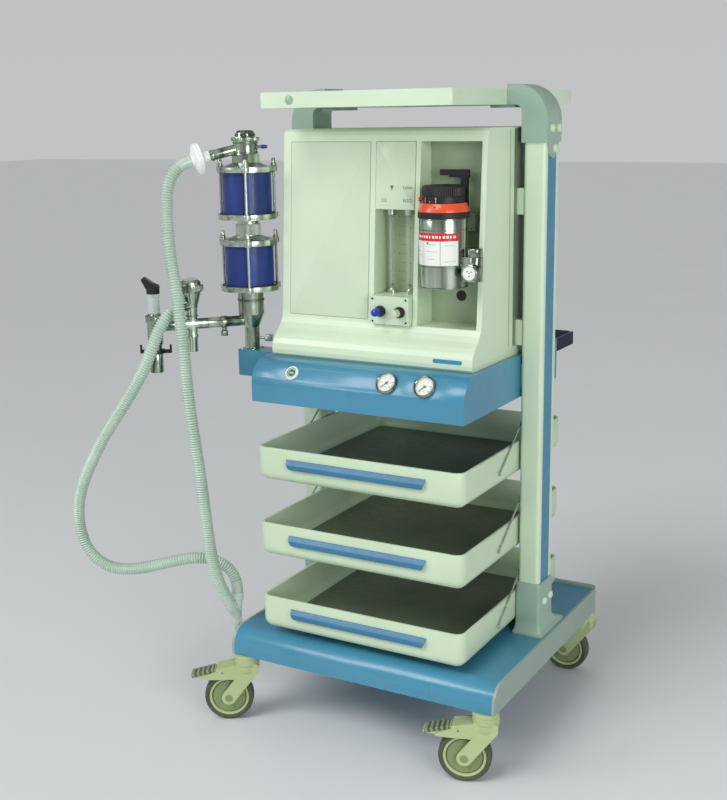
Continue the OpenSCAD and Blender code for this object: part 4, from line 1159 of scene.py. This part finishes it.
def make_tray_handles():
    """Blue grips whose ends slant back under their top edge."""
    bm = bmesh.new()
    for rim in RIMS.values():
        section = [(0, -43, 9), (6, -43, 9), (8.8, -41.6, 8), (10, -39, 6.6),
                   (10, -31.6, 2.6), (9, -29.6, 2), (3, -21, 0), (0, -21, 0)]
        ends = [[bm.verts.new(at(way * (GRIP_HALF - slant), TRAY_FRONT - out, rim + z))
                 for out, z, slant in section] for way in (-1, 1)]
        join_rings(bm, *ends)
        for end in ends:
            bm.faces.new(end)
    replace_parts(finish_mesh("tray_grips", bm, grip_blue, bevel=0.5), "tray_handles")


def make_tray_mats():
    # dark mats on the tray floors: partly a grey-green mat, partly painted shade inside the trays
    for name, rim in RIMS.items():
        floor = rim - TRAY_DEPTH + TRAY_FLOOR
        loft(name + "_tray_shade_mat", [(rounded(-228, 228, -134, 370, 14), floor + 0.1),
                                  (rounded(-228, 228, -134, 370, 14), floor + 1.3),
                                  (rounded(-227, 227, -133, 369, 13), floor + 1.9)], tray_liner)


# ---------------------------------------------------------------- absorber

POST = (-330, -45)
ARM_DIR = spoke(math.radians(228.7))[0]
DROOP = math.radians(12.5)
PORT_DIR = (ARM_DIR * math.cos(DROOP) - UP * math.sin(DROOP)).normalized()
SECOND, THIRD = (at(*POST, 0) + ARM_DIR * t * MM for t in (137, 221))
POST_AT = at(*POST, 0)
RODS = [math.radians(a) for a in (-57, 63, 183)]
ROD_CIRCLE = 69
NIPPLE_DIR = spoke(math.radians(22))[0]


def make_canisters():
    """Blue liners, seals and lips of the plates, and the rods' nuts."""
    seals, nuts = bmesh.new(), bmesh.new()
    for name, low, high in (("lower", 1013, 1103), ("upper", 1172, 1263)):
        lathe(name + "_liner", POST_AT, UP,
              [(53.6, low + 0.4), (54.4, low + 1), (54.4, high - 3), (54, high - 0.6),
               (52.4, high - 0.6), (52.2, low + 3), (0, low + 2.6)], blue_liner, "absorber",
              sides=72)
        for z in (low, high):
            add_turned(seals, at(*POST, z), UP,
                       [(60.1, -1.5), (61.6, -1.4), (62.0, 0), (61.6, 1.4), (60.1, 1.5)],
                       ring=True, sides=72)
        for a in RODS:
            foot = POST_AT + spoke(a)[0] * ROD_CIRCLE * MM
            top = high + 12
            add_turned(nuts, foot, UP, [(5.6, top), (6.4, top + 0.6), (6.4, top + 5),
                                        (4.9, top + 6.2), (4.6, top + 14), (3.4, top + 16.6),
                                        (0, top + 17.2)], sides=24)
            add_turned(nuts, foot, UP, [(4.6, low - 12.6), (5.4, low - 12), (5.4, low - 9)],
                       sides=6)
    finish_mesh("canister_seals", seals, black_rubber, "absorber")
    finish_mesh("rod_nuts", nuts, satin_steel, "absorber")
    lips = bmesh.new()
    for z in (1001, 1103, 1160, 1263):
        for edge in (z + 0.8, z + 11.2):
            add_turned(lips, at(*POST, edge), UP,
                       [(64.6, -0.8), (65.3, -0.5), (65.3, 0.5), (64.6, 0.8)], ring=True,
                       sides=72)
    finish_mesh("plate_lips", lips, chrome, "absorber")


def make_valves():
    """Painted shade in the holes of the top dome, rings and knurls of the valves, and the blue
    nipple.
    """
    dark, holes = bmesh.new(), 14
    # dark patches that are painted shade inside the dome's holes
    for k in range(holes):
        away, across = spoke(2 * math.pi * k / holes)
        add_box(dark, POST_AT + away * 21.5 * MM + UP * 1343 * MM, (1.0, 5.2, 5.0),
                axes(away, across, UP))
        add_box(dark, POST_AT + away * 17.2 * MM + UP * 1350.3 * MM, (5.0, 3.2, 1.0),
                axes((away * 8 - UP * 6).normalized(), across, (away * 6 + UP * 8).normalized()))
    finish_mesh("dome_hole_shade", dark, ink, "absorber")
    rings = bmesh.new()
    for foot, z, inner, outer, sides in (
            (POST_AT, 1305, 26, 28.2, 64), (POST_AT, 1326, 26, 28.2, 64),
            (SECOND, 1006, 22.6, 25.4, 48), (SECOND, 970, 11.4, 14.2, 48),
            (SECOND, 950, 11.2, 14, 48)):
        add_turned(rings, foot + UP * z * MM, UP, [(inner, -1.6), (outer, -1.2), (outer, 1.2),
                                                   (inner, 1.6)], ring=True, sides=sides)
    finish_mesh("valve_rings", rings, dark_steel, "absorber")
    knurls = bmesh.new()
    add_turned(knurls, POST_AT, UP, [(30, 1330.4), (31.6, 1331), (31.6, 1337), (30, 1337.6)],
               sides=240, wave=ribs(60, 0.9, 1330.9, 1337.1), ring=True)
    add_turned(knurls, SECOND, UP, [(27, 1008), (28.6, 1008.8), (28.6, 1018.2), (27, 1019)],
               sides=224, wave=ribs(56, 0.9, 1008.7, 1018.3), ring=True)
    finish_mesh("valve_knurls", knurls, chrome, "absorber")
    lathe("second_window", SECOND, UP, [(17.5, 1030.8), (17.2, 1032.2), (12, 1034.4),
                                        (0, 1035.4)], port_clear, "absorber")
    lathe("nipple_tip", at(*POST, 1317), NIPPLE_DIR,
          [(3.6, 36), (4.6, 37), (4.6, 40), (3.8, 41.4), (4.6, 43), (3.8, 44.6), (4.4, 46),
           (3.2, 49), (0, 49.2)], blue_knob, "absorber", sides=28)
    lathe("neck_ring", POST_AT, UP, [(28, 975), (30.4, 975.8), (30.4, 981), (28, 981.8)],
          dark_steel, "absorber", sides=64, ring=True)


def make_filter():
    """A shallow round housing with ribs on both faces, and a cuff on each side."""
    start = at(*POST, 1317)
    bm = bmesh.new()
    add_turned(bm, start, PORT_DIR,
               [(11.2, 84.2), (12.8, 84.6), (13, 86), (13, 95), (14.6, 97), (24, 99.5),
                (31, 102.4), (34, 103.6), (35, 105), (35, 107.6), (34.2, 108.4), (34.2, 110.2),
                (35, 111), (35, 114.4), (33.6, 116.4), (28, 118.4), (18, 121.4), (14, 123),
                (13, 125.9)], sides=72)
    u, v = basis(PORT_DIR)
    face_ribs = 12
    for k in range(face_ribs):
        a = 2 * math.pi * k / face_ribs
        away = u * math.cos(a) + v * math.sin(a)
        for height, rise in ((100.4, 0.30), (118.8, -0.32)):
            along = (away + PORT_DIR * rise).normalized()
            across = PORT_DIR.cross(away).normalized()
            add_box(bm, start + PORT_DIR * height * MM + away * 22.5 * MM, (14, 1.3, 2.0),
                    axes(along, across, along.cross(across)))
    shell = finish_mesh("filter_shell", bm, filter_white, "absorber", 0.3)
    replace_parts(shell, "disc_filter")


def make_relief_valve():
    """Spring and spindle in the clear tube, collar, and the knob with its thumb rest."""
    per_turn, turns = 14, 8
    spring = [THIRD + (spoke(2 * math.pi * k / per_turn)[0] * 6.4 + UP * (963 + 0.27 * k)) * MM
              for k in range(turns * per_turn + 1)]
    tube_mesh("relief_spring", spring, lambda i: 0.7, 8, satin_steel, "absorber")
    lathe("relief_spindle", THIRD, UP, [(2, 962), (2.2, 994), (8, 994.4), (8, 995.6)],
          satin_steel, "absorber", sides=24)
    lathe("relief_collar", THIRD, UP, [(13, 952), (20.6, 952.8), (20.6, 956.2), (16, 957.2),
                                       (13.8, 960)], chrome, "absorber", sides=120,
          wave=ribs(30, 0.8, 952.5, 956.5))
    u, v = spoke(math.radians(30))
    knob = bmesh.new()
    add_turned(knob, THIRD, UP, [(4, 997), (4, 1004.4), (13.8, 1004.4), (14.5, 1005.2),
                                 (14.5, 1017), (13.8, 1018)], sides=120,
               wave=ribs(30, 0.7, 1005, 1017.2))
    thumb = [(-14, 1016), (14, 1016), (13.6, 1020), (12, 1023), (2, 1027), (-17, 1040.4),
             (-20, 1040.8), (-24, 1036)]
    add_plate(knob, thumb, THIRD + v * 12 * MM, u, UP, 24)
    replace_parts(finish_mesh("relief_knob", knob, black_plastic, "apl_knob", 0.8), "apl_knob")
    pad = bmesh.new()
    slope = (u * -19 + UP * 14).normalized()
    add_box(pad, THIRD + u * -6.5 * MM + UP * 1033.6 * MM, (18, 17, 0.9),
            axes(slope, v, slope.cross(v)))
    finish_mesh("relief_pad", pad, soft_ink, "apl_knob", 0.3)


def make_small_knobs():
    drain = POST_AT + ARM_DIR * 64 * MM
    shell = lathe("drain_grip", drain, UP, [(3, 920), (3, 910.8), (7.4, 910.7), (8, 909.8),
                                            (8, 900.6), (7, 899.2), (0, 899)], chrome,
                  "drain_knob", sides=96, wave=ribs(24, 0.7, 900.5, 910))
    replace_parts(shell, "drain_knob")
    grip = lathe("clamp_grip", at(*POST, 890), NIPPLE_DIR,
                 [(3, 13), (3, 29), (5, 30), (7.4, 30.4), (8, 31.4), (8, 46.4), (7, 47.8),
                  (0, 48)], satin_steel, "clamp_knob", sides=96, wave=ribs(24, 0.8, 31.3, 46.5))
    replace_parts(grip, "clamp_knob")


# ---------------------------------------------------------------- the pieces

make_recess_liners()
make_flow_section()
make_flow_knob("oxygen_knob", 16, blue_knob)
make_flow_knob("nitrous_knob", 62, pale_knob)
make_cabinet_details()
make_shelf_details()
make_vaporizer()
make_gauge("oxygen_gauge", 76)
make_gauge("nitrous_gauge", 164)
make_flush_mark()
make_table_details()
make_tray_shells()
make_tray_handles()
make_tray_mats()
make_canisters()
make_valves()
make_filter()
make_relief_valve()
make_small_knobs()

# ---------------------------------------------------------------- carried CAD nodes

FINISHES = (
    (blue_paint, "base_deck table_body absorber_arm"), (edge_grey, "base_rim"),
    (cream_paint, "columns top_shelf cabinet_shell cabinet_spacers"),
    (stripe_blue, "column_stripes"), (cast_grey, "column_elbows"),
    (panel_paint, "blank_panel flow_panel"), (tube_glass, "flow_tubes"),
    (cream_cap, "flow_block"), (mount_grey, "vaporizer_mount"),
    (chrome, "vaporizer_body table_bezels absorber_neck top_valve breathing_arm"),
    (red_plastic, "vaporizer_button"), (black_plastic, "vaporizer_lever hose_hook"),
    (dial_white, "gauge_faces"), (ink, "oxygen_needle nitrous_needle"),
    (green_plastic, "flush_button"), (satin_steel, "tray_stays canister_plates tie_rods"),
    (clear_acrylic, "canister_cylinders"), (port_clear, "apl_tube"),
)
ROUNDING = {
    0.6: "top_valve breathing_arm", 0.7: "blank_panel flow_panel",
    0.8: "vaporizer_body canister_plates hose_hook", 1.0: "base_deck",
    1.2: "cabinet_spacers flow_block vaporizer_mount", 1.4: "vaporizer_lever",
    2.0: "base_rim top_shelf absorber_arm", 2.2: "column_elbows cabinet_shell",
    2.4: "table_body",
}
EDGE_WIDTHS = {node: width for width, nodes in ROUNDING.items() for node in nodes.split()}


def dress(node, material):
    """Gives a CAD node its material and, where it has hard edges, small rounded ones."""
    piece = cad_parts[node]
    piece.data.materials.clear()
    piece.data.materials.append(material)
    if node in EDGE_WIDTHS:
        piece.modifiers.new("weld", "WELD").merge_threshold = 0.02 * MM
        round_edges(piece, EDGE_WIDTHS[node], 2)


for material, nodes in FINISHES:
    for node in nodes.split():
        dress(node, material)

# ---------------------------------------------------------------- floor and light


def make_floor():
    bm = bmesh.new()
    bmesh.ops.create_grid(bm, x_segments=1, y_segments=1, size=30)
    pale = (0.70, 0.72, 0.73)
    s = Shader("pale_floor", 0.6)
    s.colour(s.ramp(s.noise(1.2, 4.0), (0.3, shade(pale, 0.985)), (0.7, pale)))
    s.rough(s.span(s.noise(6.0, 3.0), 0.55, 0.68))
    floor = finish_mesh("floor", bm, s.material, None)
    floor.location.z = -0.0005


def make_world():
    world = bpy.data.worlds.new("studio")
    bpy.context.scene.world = world
    world.use_nodes = True
    tree = world.node_tree
    shine = tree.nodes["Background"]
    coords = tree.nodes.new("ShaderNodeTexCoord")
    parts = tree.nodes.new("ShaderNodeSeparateXYZ")
    ramp = tree.nodes.new("ShaderNodeValToRGB")
    steps = ramp.color_ramp.elements
    steps[0].color = (0.86, 0.88, 0.90, 1)
    steps[1].color = (0.9, 0.9, 0.9, 1)
    for place, tone in ((0.14, 0.84), (0.30, 0.30), (0.5, 0.22), (0.66, 0.7)):
        step = steps.new(place)
        step.color = (tone, tone * 1.01, tone * 1.03, 1)
    tree.links.new(coords.outputs["Generated"], parts.inputs["Vector"])
    tree.links.new(parts.outputs["Z"], ramp.inputs["Fac"])
    tree.links.new(ramp.outputs["Color"], shine.inputs["Color"])
    shine.inputs["Strength"].default_value = 0.62


def add_light(name, kind, place, target, energy, **fields):
    data = bpy.data.lights.new(name, kind)
    data.energy = energy
    for field, value in fields.items():
        setattr(data, field, value)
    light = bpy.data.objects.new(name, data)
    bpy.context.scene.collection.objects.link(light)
    light.location = place
    light.rotation_euler = (Vector(target) - Vector(place)).to_track_quat("-Z", "Y").to_euler()


make_floor()
make_world()
add_light("sun", "SUN", (-0.8, -2.6, 3.0), (0, 0, 0), 1.15, angle=math.radians(28))
add_light("key", "AREA", (-2.4, -2.8, 2.6), (0, 0, 0.9), 36, size=1.4)
add_light("fill", "AREA", (3.2, -2.4, 1.7), (0, 0, 0.7), 62, size=1.8)
bpy.context.scene.view_settings.view_transform = "Standard"
